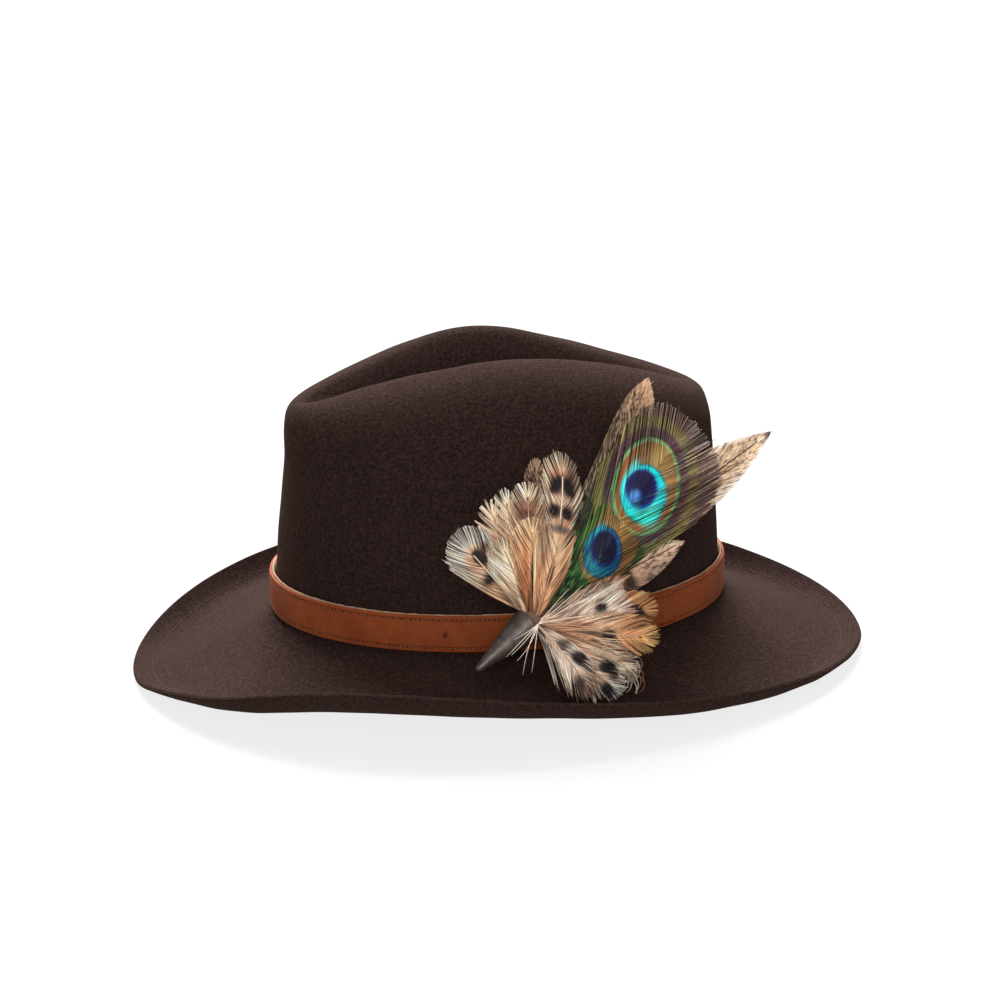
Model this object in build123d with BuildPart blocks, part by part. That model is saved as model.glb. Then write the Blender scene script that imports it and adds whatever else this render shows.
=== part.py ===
from build123d import *
import math
import os

os.makedirs("parts", exist_ok=True)

# ---------------------------------------------------------------- driving dimensions, mm
# +Z is up, the front of the hat points to -X and the wearer's left side to -Y.
# Heights in the tables are measured from the crown break, where the crown meets the brim.
break_height = 28.4          # crown break above the table
felt_thickness = 2.4
brim_half_length = 169.5
brim_half_width = 141.0
break_half_length = 106.8
break_half_width = 87.6
break_drop = 1.8             # how far the brim has already fallen at the end of the break

head_half_length = 99.9      # inside of the sweatband at its lower edge
head_half_width = 80.8
sweatband_thickness = 1.0
sweatband_top = 36.0

hatband_half_length = 106.2  # outside of the leather hatband
hatband_half_width = 87.0
hatband_low = 0.3
hatband_high = 17.0
leather_face = 1.2
leather_backing = 0.8
stitch_inset = 2.0

brim_stitch_fraction = 0.875

# Crown sections from the floor of the dent out and down to the break:
# half length, half width, shift along X, height at the sides, at the front, at the back,
# fullness of the plan and how much the left side stands above the right.
crown_sections = [
    (56.0, 3.5, -4.0, 90.0, 90.0, 90.0, 0.0, 0.0),
    (66.0, 8.0, -4.0, 91.4, 90.6, 90.4, 0.0, 0.0),
    (75.5, 15.0, -3.8, 98.0, 92.5, 91.6, -0.05, 0.4),
    (83.0, 24.5, -3.3, 111.0, 95.6, 93.2, -0.15, 0.8),
    (88.0, 31.5, -2.6, 118.2, 97.4, 93.6, -0.20, 1.0),
    (91.8, 40.5, -1.8, 116.4, 96.8, 92.4, -0.12, 0.8),
    (95.4, 54.0, -0.6, 107.5, 93.0, 88.6, 0.0, 0.4),
    (97.6, 66.0, 0.3, 92.0, 85.0, 81.5, 0.06, 0.0),
    (98.8, 74.0, 0.9, 74.0, 70.0, 68.0, 0.05, 0.0),
    (100.5, 79.4, 0.8, 52.0, 51.0, 50.0, 0.02, 0.0),
    (102.1, 82.6, 0.5, 34.0, 34.0, 34.0, 0.0, 0.0),
    (103.1, 84.0, 0.2, 18.0, 18.0, 18.0, 0.0, 0.0),
    (103.5, 84.4, 0.0, 7.0, 7.0, 7.0, 0.0, 0.0),
    (103.7, 84.5, 0.0, 2.0, 2.0, 2.0, 0.0, 0.0),
    (103.9, 84.7, 0.0, 0.2, 0.2, 0.2, 0.0, 0.0),
    (104.9, 85.7, 0.0, -1.1, -1.1, -1.1, 0.0, 0.0),
    (break_half_length, break_half_width, 0.0, -1.8, -1.8, -1.8, 0.0, 0.0),
]
# Fractions of the way from the break to the cut edge of the brim.
brim_steps = [0.08, 0.2, 0.34, 0.48, 0.6, 0.69, 0.76, 0.82, 0.88, 0.93, 0.97, 1.0]
points_round = 48

# The feather brooch: a plane leaning back against the crown, its layers counted outward.
brooch_lean = 0.20
brooch_turn = 0.12
gather_point = (-10.0, -98.0, 17.0 + break_height)
cone_mouth_radius = 8.0
cone_tip_radius = 1.3
cone_length = 32.5
cone_wall = 1.0
cone_direction = 213.0
feather_thickness = 0.5
quill_width = 1.3
root_gap = 10.0
post_radius = 0.6
post_hole_radius = 1.0
post_along = 4.0
post_up = 30.0


# ---------------------------------------------------------------- the blocked felt surface
def edge_height(u):
    """Height of the brim's cut edge round the hat."""
    rise = -12.95 - 2.17 * math.cos(u) - 8.8 * math.cos(2 * u)
    rise += 2.9 * math.cos(3 * u) - 1.35 * math.cos(4 * u)
    return rise + 4.4 * math.sin(2 * u) - 1.0 * math.sin(3 * u)


def valley_height(u):
    """Height of the lowest line of the brim, which rests on the table front and back."""
    low = -21.9 - 2.5 * math.cos(u) - 6.3 * math.cos(2 * u)
    low += 2.5 * math.cos(3 * u) - 0.2 * math.cos(4 * u)
    low += -0.25 * math.sin(u) + 3.2 * math.sin(2 * u) - 1.1 * math.sin(3 * u)
    over = low + 28.0
    return -28.0 + 0.5 * (over + math.sqrt(over * over + 0.6))


def crown_point(section, u):
    half_length, half_width, shift, side, front, back, full, lop = section
    c = math.cos(u)
    s = math.sin(u)
    x = shift + half_length * c * (1 + 0.5 * full * s * s)
    y = half_width * s * (1 + full * c * c)
    z = side + 0.5 * (back - front) * c
    z += (0.5 * (back + front) - side) * abs(c) ** 1.7
    z -= 10.0 * lop * s * c * c * s * s
    return Vector(x, y, z + break_height)


def brim_point(r, u):
    low = valley_height(u)
    fall = 1 - (1 - r) ** 1.55
    curl = max(0.0, (r - 0.74) / 0.26) ** 2
    x = math.cos(u) * (break_half_length + (brim_half_length - break_half_length) * r)
    y = math.sin(u) * (break_half_width + (brim_half_width - break_half_width) * r)
    z = -break_drop + (low + break_drop) * fall + (edge_height(u) - low) * curl
    return Vector(x, y, z + break_height)


ring_count = len(crown_sections) + len(brim_steps)


def felt_point(ring, u):
    if ring < len(crown_sections):
        return crown_point(crown_sections[ring], u)
    return brim_point(brim_steps[ring - len(crown_sections)], u)


def felt_normal(ring, u):
    """Outward direction of the felt's outer side."""
    if ring == 0:
        return Vector(0, 0, 1)
    ahead = felt_point(min(ring + 1, ring_count - 1), u)
    behind = felt_point(ring - 1, u)
    around = felt_point(ring, u + 0.01) - felt_point(ring, u - 0.01)
    return around.cross(behind - ahead).normalized()


def felt_ring(ring, depth):
    points = []
    for step in range(points_round):
        u = 2 * math.pi * step / points_round
        points.append(felt_point(ring, u) - felt_normal(ring, u) * depth)
    return Wire([Edge.make_spline(points, periodic=True)])


# ---------------------------------------------------------------- the brooch frame
brooch_out = Vector(brooch_turn, -1, brooch_lean).normalized()
brooch_along = Vector(1, brooch_turn, 0).normalized()
brooch_up = brooch_out.cross(brooch_along)
gather = Vector(*gather_point)
brooch_plane = Plane(origin=gather, x_dir=brooch_along, z_dir=brooch_out)


def oval_prism(half_length, half_width, low, high):
    """Oval cylinder between two heights above the crown break."""
    with BuildPart(mode=Mode.PRIVATE) as prism:
        with BuildSketch(Plane.XY.offset(break_height + low)):
            Ellipse(half_length, half_width)
        extrude(amount=high - low)
    return prism.part


# ---------------------------------------------------------------- felt body, crown and brim in one piece
outer_rings = [felt_ring(ring, 0.0) for ring in range(ring_count)]
inner_rings = [felt_ring(ring, felt_thickness) for ring in reversed(range(ring_count))]
post_axis_point = gather + brooch_along * post_along + brooch_up * post_up

with BuildPart() as felt_body:
    add(Solid.make_loft(outer_rings + inner_rings, ruled=True))
    with BuildSketch(Plane(origin=post_axis_point, z_dir=brooch_out)):
        Circle(post_hole_radius)
    extrude(amount=-20.0, mode=Mode.SUBTRACT)
felt_body.part.label = "felt_body"
export_step(felt_body.part, "parts/felt_body.step")

# ---------------------------------------------------------------- stitching round the brim
stitch_count = 60


def brim_thread_point(turn):
    """Point just above the brim on the stitch line."""
    u = 2 * math.pi * turn
    here = brim_point(brim_stitch_fraction, u)
    ahead = brim_point(brim_stitch_fraction + 0.01, u)
    around = brim_point(brim_stitch_fraction, u + 0.01) - brim_point(brim_stitch_fraction, u - 0.01)
    return here + around.cross(here - ahead).normalized() * 0.75


with BuildPart() as brim_stitching:
    for stitch in range(stitch_count):
        start = brim_thread_point(stitch / stitch_count)
        end = brim_thread_point((stitch + 0.6) / stitch_count)
        with BuildSketch(Plane(origin=start, z_dir=end - start)):
            Circle(0.25)
        extrude(amount=(end - start).length)
brim_stitching.part.label = "brim_stitching"
export_step(brim_stitching.part, "parts/brim_stitching.step")

# ---------------------------------------------------------------- sweatband, its reed and stitching
with BuildPart() as sweatband:
    with BuildSketch(Plane.XY.offset(break_height + 0.5)):
        Ellipse(head_half_length + sweatband_thickness, head_half_width + sweatband_thickness)
    with BuildSketch(Plane.XY.offset(break_height + sweatband_top)):
        Ellipse(98.6, 79.4)
    loft()
    with BuildSketch(Plane.XY.offset(break_height + 0.5)):
        Ellipse(head_half_length, head_half_width)
    with BuildSketch(Plane.XY.offset(break_height + sweatband_top)):
        Ellipse(98.6 - sweatband_thickness, 79.4 - sweatband_thickness)
    loft(mode=Mode.SUBTRACT)
sweatband.part.label = "sweatband"
export_step(sweatband.part, "parts/sweatband.step")

with BuildPart() as sweatband_reed:
    with BuildLine():
        reed_line = Spline(
            *[
                Vector(
                    100.3 * math.cos(2 * math.pi * step / 36),
                    81.2 * math.sin(2 * math.pi * step / 36),
                    break_height - 0.75,
                )
                for step in range(36)
            ],
            periodic=True,
        )
    with BuildSketch(Plane(origin=reed_line @ 0, z_dir=reed_line % 0)):
        Circle(0.9)
    sweep(path=reed_line)
sweatband_reed.part.label = "sweatband_reed"
export_step(sweatband_reed.part, "parts/sweatband_reed.step")

with BuildPart() as sweatband_stitching:
    add(oval_prism(head_half_length - 0.4, head_half_width - 0.4, 3.0, 3.5))
    add(oval_prism(head_half_length - 0.65, head_half_width - 0.65, 3.0, 3.5), mode=Mode.SUBTRACT)
sweatband_stitching.part.label = "sweatband_stitching"
export_step(sweatband_stitching.part, "parts/sweatband_stitching.step")

# A small ribbon bow on the inside of the sweatband at the back.
with BuildPart() as sweatband_bow:
    with BuildSketch(Plane(origin=(97.9, 0, break_height + 14), x_dir=(0, 1, 0), z_dir=(1, 0, 0))):
        with Locations((-4.6, 0), (4.6, 0)):
            Ellipse(4.4, 2.6)
        Rectangle(3.0, 3.4)
    extrude(amount=-1.0)
sweatband_bow.part.label = "sweatband_bow"
export_step(sweatband_bow.part, "parts/sweatband_bow.step")

# ---------------------------------------------------------------- leather hatband
face_inner_length = hatband_half_length - leather_face
face_inner_width = hatband_half_width - leather_face
lower_row = hatband_low + stitch_inset
upper_row = hatband_high - stitch_inset

with BuildPart() as hatband_face:
    add(oval_prism(hatband_half_length, hatband_half_width, hatband_low, hatband_high))
    add(oval_prism(face_inner_length, face_inner_width, hatband_low, hatband_high), mode=Mode.SUBTRACT)
    for row in (lower_row, upper_row):
        with BuildSketch(Plane.XY.offset(break_height + row - 0.35)):
            Ellipse(hatband_half_length + 1, hatband_half_width + 1)
            Ellipse(hatband_half_length - 0.35, hatband_half_width - 0.35, mode=Mode.SUBTRACT)
        extrude(amount=0.7, mode=Mode.SUBTRACT)
hatband_face.part.label = "hatband_face"
export_step(hatband_face.part, "parts/hatband_face.step")

with BuildPart() as hatband_backing:
    add(oval_prism(face_inner_length - 0.05, face_inner_width - 0.05, hatband_low, hatband_high + 0.4))
    add(
        oval_prism(
            face_inner_length - leather_backing,
            face_inner_width - leather_backing,
            hatband_low,
            hatband_high + 0.4,
        ),
        mode=Mode.SUBTRACT,
    )
hatband_backing.part.label = "hatband_backing"
export_step(hatband_backing.part, "parts/hatband_backing.step")

with BuildPart() as hatband_stitching:
    for row in (lower_row, upper_row):
        with BuildSketch(Plane.XY.offset(break_height + row - 0.22)):
            Ellipse(hatband_half_length - 0.02, hatband_half_width - 0.02)
            Ellipse(hatband_half_length - 0.28, hatband_half_width - 0.28, mode=Mode.SUBTRACT)
        extrude(amount=0.44)
hatband_stitching.part.label = "hatband_stitching"
export_step(hatband_stitching.part, "parts/hatband_stitching.step")


def band_plane(angle, height):
    """Plane on the outside of the hatband at an angle round the hat, facing outward."""
    u = math.radians(angle)
    place = Vector(
        hatband_half_length * math.cos(u),
        hatband_half_width * math.sin(u),
        break_height + height,
    )
    out = Vector(math.cos(u) / hatband_half_length, math.sin(u) / hatband_half_width, 0).normalized()
    return Plane(origin=place, x_dir=Vector(0, 0, 1).cross(out), z_dir=out)


# The free end of the strap lapped over the other, held by two upright rows of stitches.
lap_angle = -58.5
with BuildPart() as hatband_join:
    add(oval_prism(hatband_half_length + 1.25, hatband_half_width + 1.25, hatband_low + 0.4, hatband_high - 0.4))
    add(
        oval_prism(hatband_half_length + 0.1, hatband_half_width + 0.1, hatband_low + 0.4, hatband_high - 0.4),
        mode=Mode.SUBTRACT,
    )
    with BuildSketch(band_plane(lap_angle, 8.65).offset(-6)):
        Rectangle(15, 40)
    extrude(amount=12, mode=Mode.INTERSECT)
hatband_join.part.label = "hatband_join"
export_step(hatband_join.part, "parts/hatband_join.step")

with BuildPart() as hatband_join_stitching:
    add(oval_prism(hatband_half_length + 1.55, hatband_half_width + 1.55, hatband_low + 2, hatband_high - 2))
    add(
        oval_prism(hatband_half_length + 1.3, hatband_half_width + 1.3, hatband_low + 2, hatband_high - 2),
        mode=Mode.SUBTRACT,
    )
    with BuildSketch(band_plane(lap_angle, 8.65).offset(-6)):
        with Locations((2.2, 0), (5.4, 0)):
            Rectangle(0.45, 40)
    extrude(amount=12, mode=Mode.INTERSECT)
hatband_join_stitching.part.label = "hatband_join_stitching"
export_step(hatband_join_stitching.part, "parts/hatband_join_stitching.step")

# A small crossed tack stitch that holds the band to the crown.
with BuildPart() as hatband_tack:
    with BuildSketch(band_plane(-114.5, 8.6).offset(0.1)):
        Rectangle(3.0, 0.5, rotation=45)
        Rectangle(3.0, 0.5, rotation=-45)
    extrude(amount=0.35)
hatband_tack.part.label = "hatband_tack"
export_step(hatband_tack.part, "parts/hatband_tack.step")

# ---------------------------------------------------------------- the brooch's metal cone and fixings
cone_turn = math.radians(cone_direction)
cone_axis = brooch_along * math.cos(cone_turn) + brooch_up * math.sin(cone_turn)
mouth_plane = Plane(origin=gather, z_dir=cone_axis)

with BuildPart() as pin_cone:
    with BuildSketch(mouth_plane):
        Circle(cone_mouth_radius)
    with BuildSketch(mouth_plane.offset(cone_length)):
        Circle(cone_tip_radius)
    loft()
    fillet(pin_cone.edges().filter_by(GeomType.CIRCLE).sort_by(Axis(gather, cone_axis))[-1], 0.9)
    with BuildSketch(mouth_plane):
        Circle(cone_mouth_radius - cone_wall)
    with BuildSketch(mouth_plane.offset(20)):
        Circle(2.6)
    loft(mode=Mode.SUBTRACT)
pin_cone.part.label = "pin_cone"
export_step(pin_cone.part, "parts/pin_cone.step")

with BuildPart() as pin_binding:
    with BuildSketch(mouth_plane.offset(10)):
        Circle(3.6)
    with BuildSketch(mouth_plane.offset(1)):
        Circle(6.2)
    loft()
    with BuildSketch(mouth_plane.offset(1)):
        Circle(5.4)
    extrude(amount=-4.0)
pin_binding.part.label = "pin_binding"
export_step(pin_binding.part, "parts/pin_binding.step")

with BuildPart() as pin_backing_pad:
    with BuildSketch(brooch_plane.offset(-9.9)):
        with Locations((post_along, post_up)):
            Circle(9.0)
    extrude(amount=1.0)
pin_backing_pad.part.label = "pin_backing_pad"
export_step(pin_backing_pad.part, "parts/pin_backing_pad.step")

with BuildPart() as pin_spine:
    with BuildSketch(brooch_plane.offset(-8.8)):
        with Locations((post_along, 21)):
            SlotCenterToCenter(24, 8, rotation=90)
    extrude(amount=1.6)
pin_spine.part.label = "pin_spine"
export_step(pin_spine.part, "parts/pin_spine.step")

with BuildPart() as pin_post:
    with BuildSketch(Plane(origin=post_axis_point, z_dir=brooch_out).offset(-9.95)):
        Circle(post_radius)
    extrude(amount=-16.5)
pin_post.part.label = "pin_post"
export_step(pin_post.part, "parts/pin_post.step")

with BuildPart() as pin_clutch:
    with BuildSketch(Plane(origin=post_axis_point, z_dir=brooch_out).offset(-15.6)):
        Circle(4.5)
    extrude(amount=-4.5)
    fillet(pin_clutch.edges().filter_by(GeomType.CIRCLE), 0.8)
    with BuildSketch(Plane(origin=post_axis_point, z_dir=brooch_out).offset(-15.0)):
        Circle(post_radius + 0.3)
    extrude(amount=-6.0, mode=Mode.SUBTRACT)
pin_clutch.part.label = "pin_clutch"
export_step(pin_clutch.part, "parts/pin_clutch.step")

# ---------------------------------------------------------------- feathers
# name: direction in the brooch plane, length from the gather point, half width,
# layer outward from the brooch plane, lift away from the plane, and shape of the tip
feathers = {
    "feather_brown_tall": (56.6, 119.0, 11.5, -6.2, 0.0, "pointed"),
    "feather_tan_right": (29.2, 142.0, 10.0, -5.3, 0.0, "pointed"),
    "feather_brown_curl": (82.0, 70.0, 6.0, -5.3, 0.0, "round"),
    "feather_peacock_large": (43.5, 121.0, 25.0, -4.4, 0.0, "eye"),
    "feather_spotted_tall": (69.5, 75.0, 9.0, -3.5, 0.0, "round"),
    "feather_peacock_small": (39.9, 71.0, 12.5, -3.5, 0.0, "eye"),
    "feather_left_outer": (102.9, 57.0, 8.0, -2.7, 0.0, "round"),
    "feather_left_middle": (96.1, 59.0, 8.0, -1.8, 0.0, "round"),
    "feather_tan_low": (17.9, 80.0, 8.0, -2.0, 3.0, "pointed"),
    "feather_left_inner": (86.4, 60.5, 9.0, -0.9, 0.0, "round"),
    "feather_black_white": (127.0, 54.0, 10.5, 0.0, 2.0, "round"),
    "feather_centre_left": (107.6, 40.0, 7.0, 0.9, 4.0, "round"),
    "feather_centre": (87.9, 45.0, 8.0, 1.8, 6.0, "round"),
    "feather_centre_right": (69.6, 43.6, 8.0, 2.7, 8.0, "round"),
    "feather_fan_top": (19.1, 48.0, 9.0, 0.7, 9.0, "round"),
    "feather_fan_high": (0.5, 55.5, 10.0, 1.6, 14.0, "round"),
    "feather_fan_middle": (346.6, 54.0, 10.0, 2.5, 19.0, "round"),
    "feather_fan_low": (327.9, 50.0, 9.0, 3.4, 24.0, "round"),
    "feather_fan_lower": (311.0, 45.0, 9.0, 4.4, 28.0, "round"),
    "feather_fan_front": (298.0, 39.0, 8.0, 5.4, 31.0, "round"),
}
# Where along the vane its half width is reached, as (fraction of length, fraction of half width).
vane_shapes = {
    "pointed": [(0.30, 0.62), (0.55, 1.0), (0.78, 0.72)],
    "round": [(0.35, 0.62), (0.62, 0.98), (0.85, 0.80)],
    "eye": [(0.32, 0.40), (0.62, 0.95), (0.86, 0.85)],
}


def feather_plane(direction, layer, lift):
    """Plane of one vane: X along its quill, Z outward from the crown."""
    turn = math.radians(direction)
    rise = math.radians(lift)
    flat = brooch_along * math.cos(turn) + brooch_up * math.sin(turn)
    along = flat * math.cos(rise) + brooch_out * math.sin(rise)
    out = brooch_out * math.cos(rise) - flat * math.sin(rise)
    return Plane(origin=gather + brooch_out * layer, x_dir=along, z_dir=out)


for name, (direction, length, half_width, layer, lift, tip) in feathers.items():
    vane_start = root_gap + 0.12 * length
    vane_length = length - vane_start
    side = [(vane_start + f * vane_length, g * half_width) for f, g in vane_shapes[tip]]
    with BuildPart() as feather:
        with BuildSketch(feather_plane(direction, layer, lift)):
            with BuildLine():
                Spline((vane_start, quill_width / 2), *side, (length, 0))
                Spline((length, 0), *[(x, -y) for x, y in reversed(side)], (vane_start, -quill_width / 2))
                Line((vane_start, -quill_width / 2), (vane_start, quill_width / 2))
            make_face()
            with Locations(((root_gap + vane_start) / 2 + 0.5, 0)):
                Rectangle(vane_start - root_gap + 1, quill_width)
        extrude(amount=feather_thickness)
    feather.part.label = name
    export_step(feather.part, "parts/" + name + ".step")
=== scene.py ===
import math
from types import SimpleNamespace

import bpy
import numpy as np
from mathutils import Matrix, Vector

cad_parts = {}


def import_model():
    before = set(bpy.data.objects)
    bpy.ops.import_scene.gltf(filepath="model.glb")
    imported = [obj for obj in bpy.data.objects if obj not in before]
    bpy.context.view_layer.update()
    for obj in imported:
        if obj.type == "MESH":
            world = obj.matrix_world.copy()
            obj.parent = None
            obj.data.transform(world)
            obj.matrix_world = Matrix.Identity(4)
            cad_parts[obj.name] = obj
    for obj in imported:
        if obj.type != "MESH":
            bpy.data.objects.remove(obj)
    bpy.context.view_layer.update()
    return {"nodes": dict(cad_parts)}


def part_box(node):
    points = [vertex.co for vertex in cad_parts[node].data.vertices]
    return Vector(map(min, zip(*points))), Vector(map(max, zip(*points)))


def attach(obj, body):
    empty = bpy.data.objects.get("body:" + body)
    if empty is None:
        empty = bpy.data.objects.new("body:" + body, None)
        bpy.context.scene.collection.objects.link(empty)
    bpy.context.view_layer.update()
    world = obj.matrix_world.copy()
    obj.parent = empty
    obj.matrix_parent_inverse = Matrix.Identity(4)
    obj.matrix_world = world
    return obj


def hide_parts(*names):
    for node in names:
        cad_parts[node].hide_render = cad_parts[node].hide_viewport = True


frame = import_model()

MM = 0.001
TURN = 2 * math.pi
# Heights in mm above the crown break: the hatband's two edges, and its two rows of stitches.
BAND_LOW, BAND_HIGH = 0.3, 17.0
ROWS = (2.3, 15.0)
BAND_STITCHES = 295
# Height of the crown break above the table.
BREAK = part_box("hatband_face")[0].z / MM - BAND_LOW


# ------------------------ small helpers
def unit(v):
    return v / np.maximum(np.linalg.norm(v, axis=-1, keepdims=True), 1e-9)


def rgb(colour):
    """Linear colour from display values 0 to 255."""
    c = np.array(colour, float) / 255
    return np.where(c > 0.04045, ((c + 0.055) / 1.055) ** 2.4, c / 12.92)


def smooth_step(low, high, value):
    x = np.clip((value - low) / (high - low), 0, 1)
    return x * x * (3 - 2 * x)


def waves(points, size, seed, count=9):
    """Smooth irregular field, about -1 to 1, whose bumps are about size mm across."""
    rng = np.random.default_rng(seed)
    total = np.zeros(points.shape[:-1])
    for _ in range(count):
        k = unit(rng.normal(size=3)) * TURN / (size * rng.uniform(1.4, 2.6))
        total += np.sin(points @ k + rng.uniform(0, TURN))
    return total / math.sqrt(count)


def run_length(line):
    """Length along a line of points, from its start to each point."""
    return np.concatenate([[0], np.cumsum(np.linalg.norm(np.diff(line, axis=0), axis=1))])


TABLE_SIZE = 256
noise_table = np.random.default_rng(7).random((TABLE_SIZE, TABLE_SIZE))


def noise2(x, y, shift=0):
    """Smooth random values 0 to 1 over a grid of spacing one."""
    x = x + 17.3 * shift + 400
    y = y + 9.1 * shift + 400
    ix, iy = np.floor(x).astype(int), np.floor(y).astype(int)
    fx, fy = x - ix, y - iy
    fx, fy = fx * fx * (3 - 2 * fx), fy * fy * (3 - 2 * fy)
    a, b, c, d = [noise_table[(ix + right) % TABLE_SIZE, (iy + up) % TABLE_SIZE]
                  for right, up in ((0, 0), (1, 0), (0, 1), (1, 1))]
    return (a * (1 - fx) + b * fx) * (1 - fy) + (c * (1 - fx) + d * fx) * fy


class Shape:
    """Collects points in mm, quads, triangles and point colours for one mesh."""

    def __init__(self):
        self.points, self.quads, self.tris, self.colours = [], [], [], []
        self.count = 0

    def add(self, points, quads=None, tris=None, colours=None):
        points = np.asarray(points, float).reshape(-1, 3)
        self.points.append(points)
        if quads is not None:
            self.quads.append(np.asarray(quads, int).reshape(-1, 4) + self.count)
        if tris is not None:
            self.tris.append(np.asarray(tris, int).reshape(-1, 3) + self.count)
        if colours is not None:
            self.colours.append(np.asarray(colours, float).reshape(-1, 3))
        self.count += len(points)

    def grid(self, points, wrap_rows=False, wrap_columns=False, flip=False):
        """Quads over a rows x columns array of points."""
        rows, columns = points.shape[:2]
        index = np.arange(rows * columns).reshape(rows, columns)
        if wrap_rows:
            index = np.concatenate([index, index[:1]], 0)
        if wrap_columns:
            index = np.concatenate([index, index[:, :1]], 1)
        a, b, c, d = index[:-1, :-1], index[1:, :-1], index[1:, 1:], index[:-1, 1:]
        order = (a, d, c, b) if flip else (a, b, c, d)
        self.add(points, np.stack(order, -1))

    def cap(self, ring, centre, flip):
        """A fan of triangles from a ring of point numbers to a new centre point."""
        fan = np.stack([ring, np.roll(ring, -1), np.full(len(ring), self.count)], -1)
        self.tris.append(fan[:, ::-1] if flip else fan)
        self.points.append(centre[None])
        self.count += 1

    def tubes(self, paths, radii, up, sides, squash=1.0, colours=None):
        """Closed tubes round many paths: paths and up are tubes x stations x 3, radii tubes x stations."""
        count, stations = paths.shape[:2]
        along = unit(np.gradient(paths, axis=1))
        side = unit(np.cross(along, up))
        rise = np.cross(side, along)
        turn = TURN * np.arange(sides) / sides
        ring = (
            side[:, :, None] * np.cos(turn)[None, None, :, None]
            + rise[:, :, None] * (squash * np.sin(turn))[None, None, :, None]
        )
        skin = paths[:, :, None] + ring * radii[..., None, None]
        ends = np.stack([paths[:, 0], paths[:, -1]], 1)
        per_tube = stations * sides + 2
        points = np.concatenate([skin.reshape(count, -1, 3), ends], 1)
        k, j = np.meshgrid(np.arange(stations - 1), np.arange(sides), indexing="ij")
        a = k * sides + j
        b = k * sides + (j + 1) % sides
        quads = np.stack([a, b, b + sides, a + sides], -1).reshape(-1, 4)
        j = np.arange(sides)
        last = (stations - 1) * sides
        first_cap = np.stack([(j + 1) % sides, j, np.full(sides, per_tube - 2)], -1)
        last_cap = np.stack([last + j, last + (j + 1) % sides, np.full(sides, per_tube - 1)], -1)
        tris = np.concatenate([first_cap, last_cap])
        shift = (np.arange(count) * per_tube)[:, None, None]
        if colours is not None:
            skin_colours = np.repeat(colours[:, :, None], sides, 2).reshape(count, -1, 3)
            colours = np.concatenate([skin_colours, colours[:, :1], colours[:, -1:]], 1)
        self.add(points, quads[None] + shift, tris[None] + shift, colours)

    def tube(self, path, radius, up, sides, squash, colours):
        """One tube along a path, with the same up all the way."""
        ups = np.repeat(up[None, None], len(path), 1)
        self.tubes(path[None], radius[None], ups, sides, squash, colours[None])

    def make(self, name, material, body, replaces=()):
        points = np.concatenate(self.points) * MM
        quads = np.concatenate(self.quads) if self.quads else np.zeros((0, 4), int)
        tris = np.concatenate(self.tris) if self.tris else np.zeros((0, 3), int)
        mesh = bpy.data.meshes.new(name)
        mesh.vertices.add(len(points))
        mesh.vertices.foreach_set("co", points.ravel())
        loops = np.concatenate([quads.ravel(), tris.ravel()])
        mesh.loops.add(len(loops))
        mesh.loops.foreach_set("vertex_index", loops.astype(np.int32))
        mesh.polygons.add(len(quads) + len(tris))
        starts = np.concatenate([np.arange(len(quads)) * 4, len(quads) * 4 + np.arange(len(tris)) * 3])
        mesh.polygons.foreach_set("loop_start", starts.astype(np.int32))
        mesh.polygons.foreach_set("use_smooth", np.full(len(starts), True))
        mesh.update(calc_edges=True)
        mesh.validate()
        if self.colours:
            colours = np.concatenate(self.colours)
            rgba = np.concatenate([np.clip(colours, 0, 1), np.ones((len(colours), 1))], 1)
            layer = mesh.color_attributes.new("tint", "FLOAT_COLOR", "POINT")
            layer.data.foreach_set("color", rgba.ravel().astype(np.float32))
        mesh.materials.append(material)
        piece = bpy.data.objects.new(name, mesh)
        bpy.context.scene.collection.objects.link(piece)
        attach(piece, body)
        if replaces:
            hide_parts(*replaces)
        return piece


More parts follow.
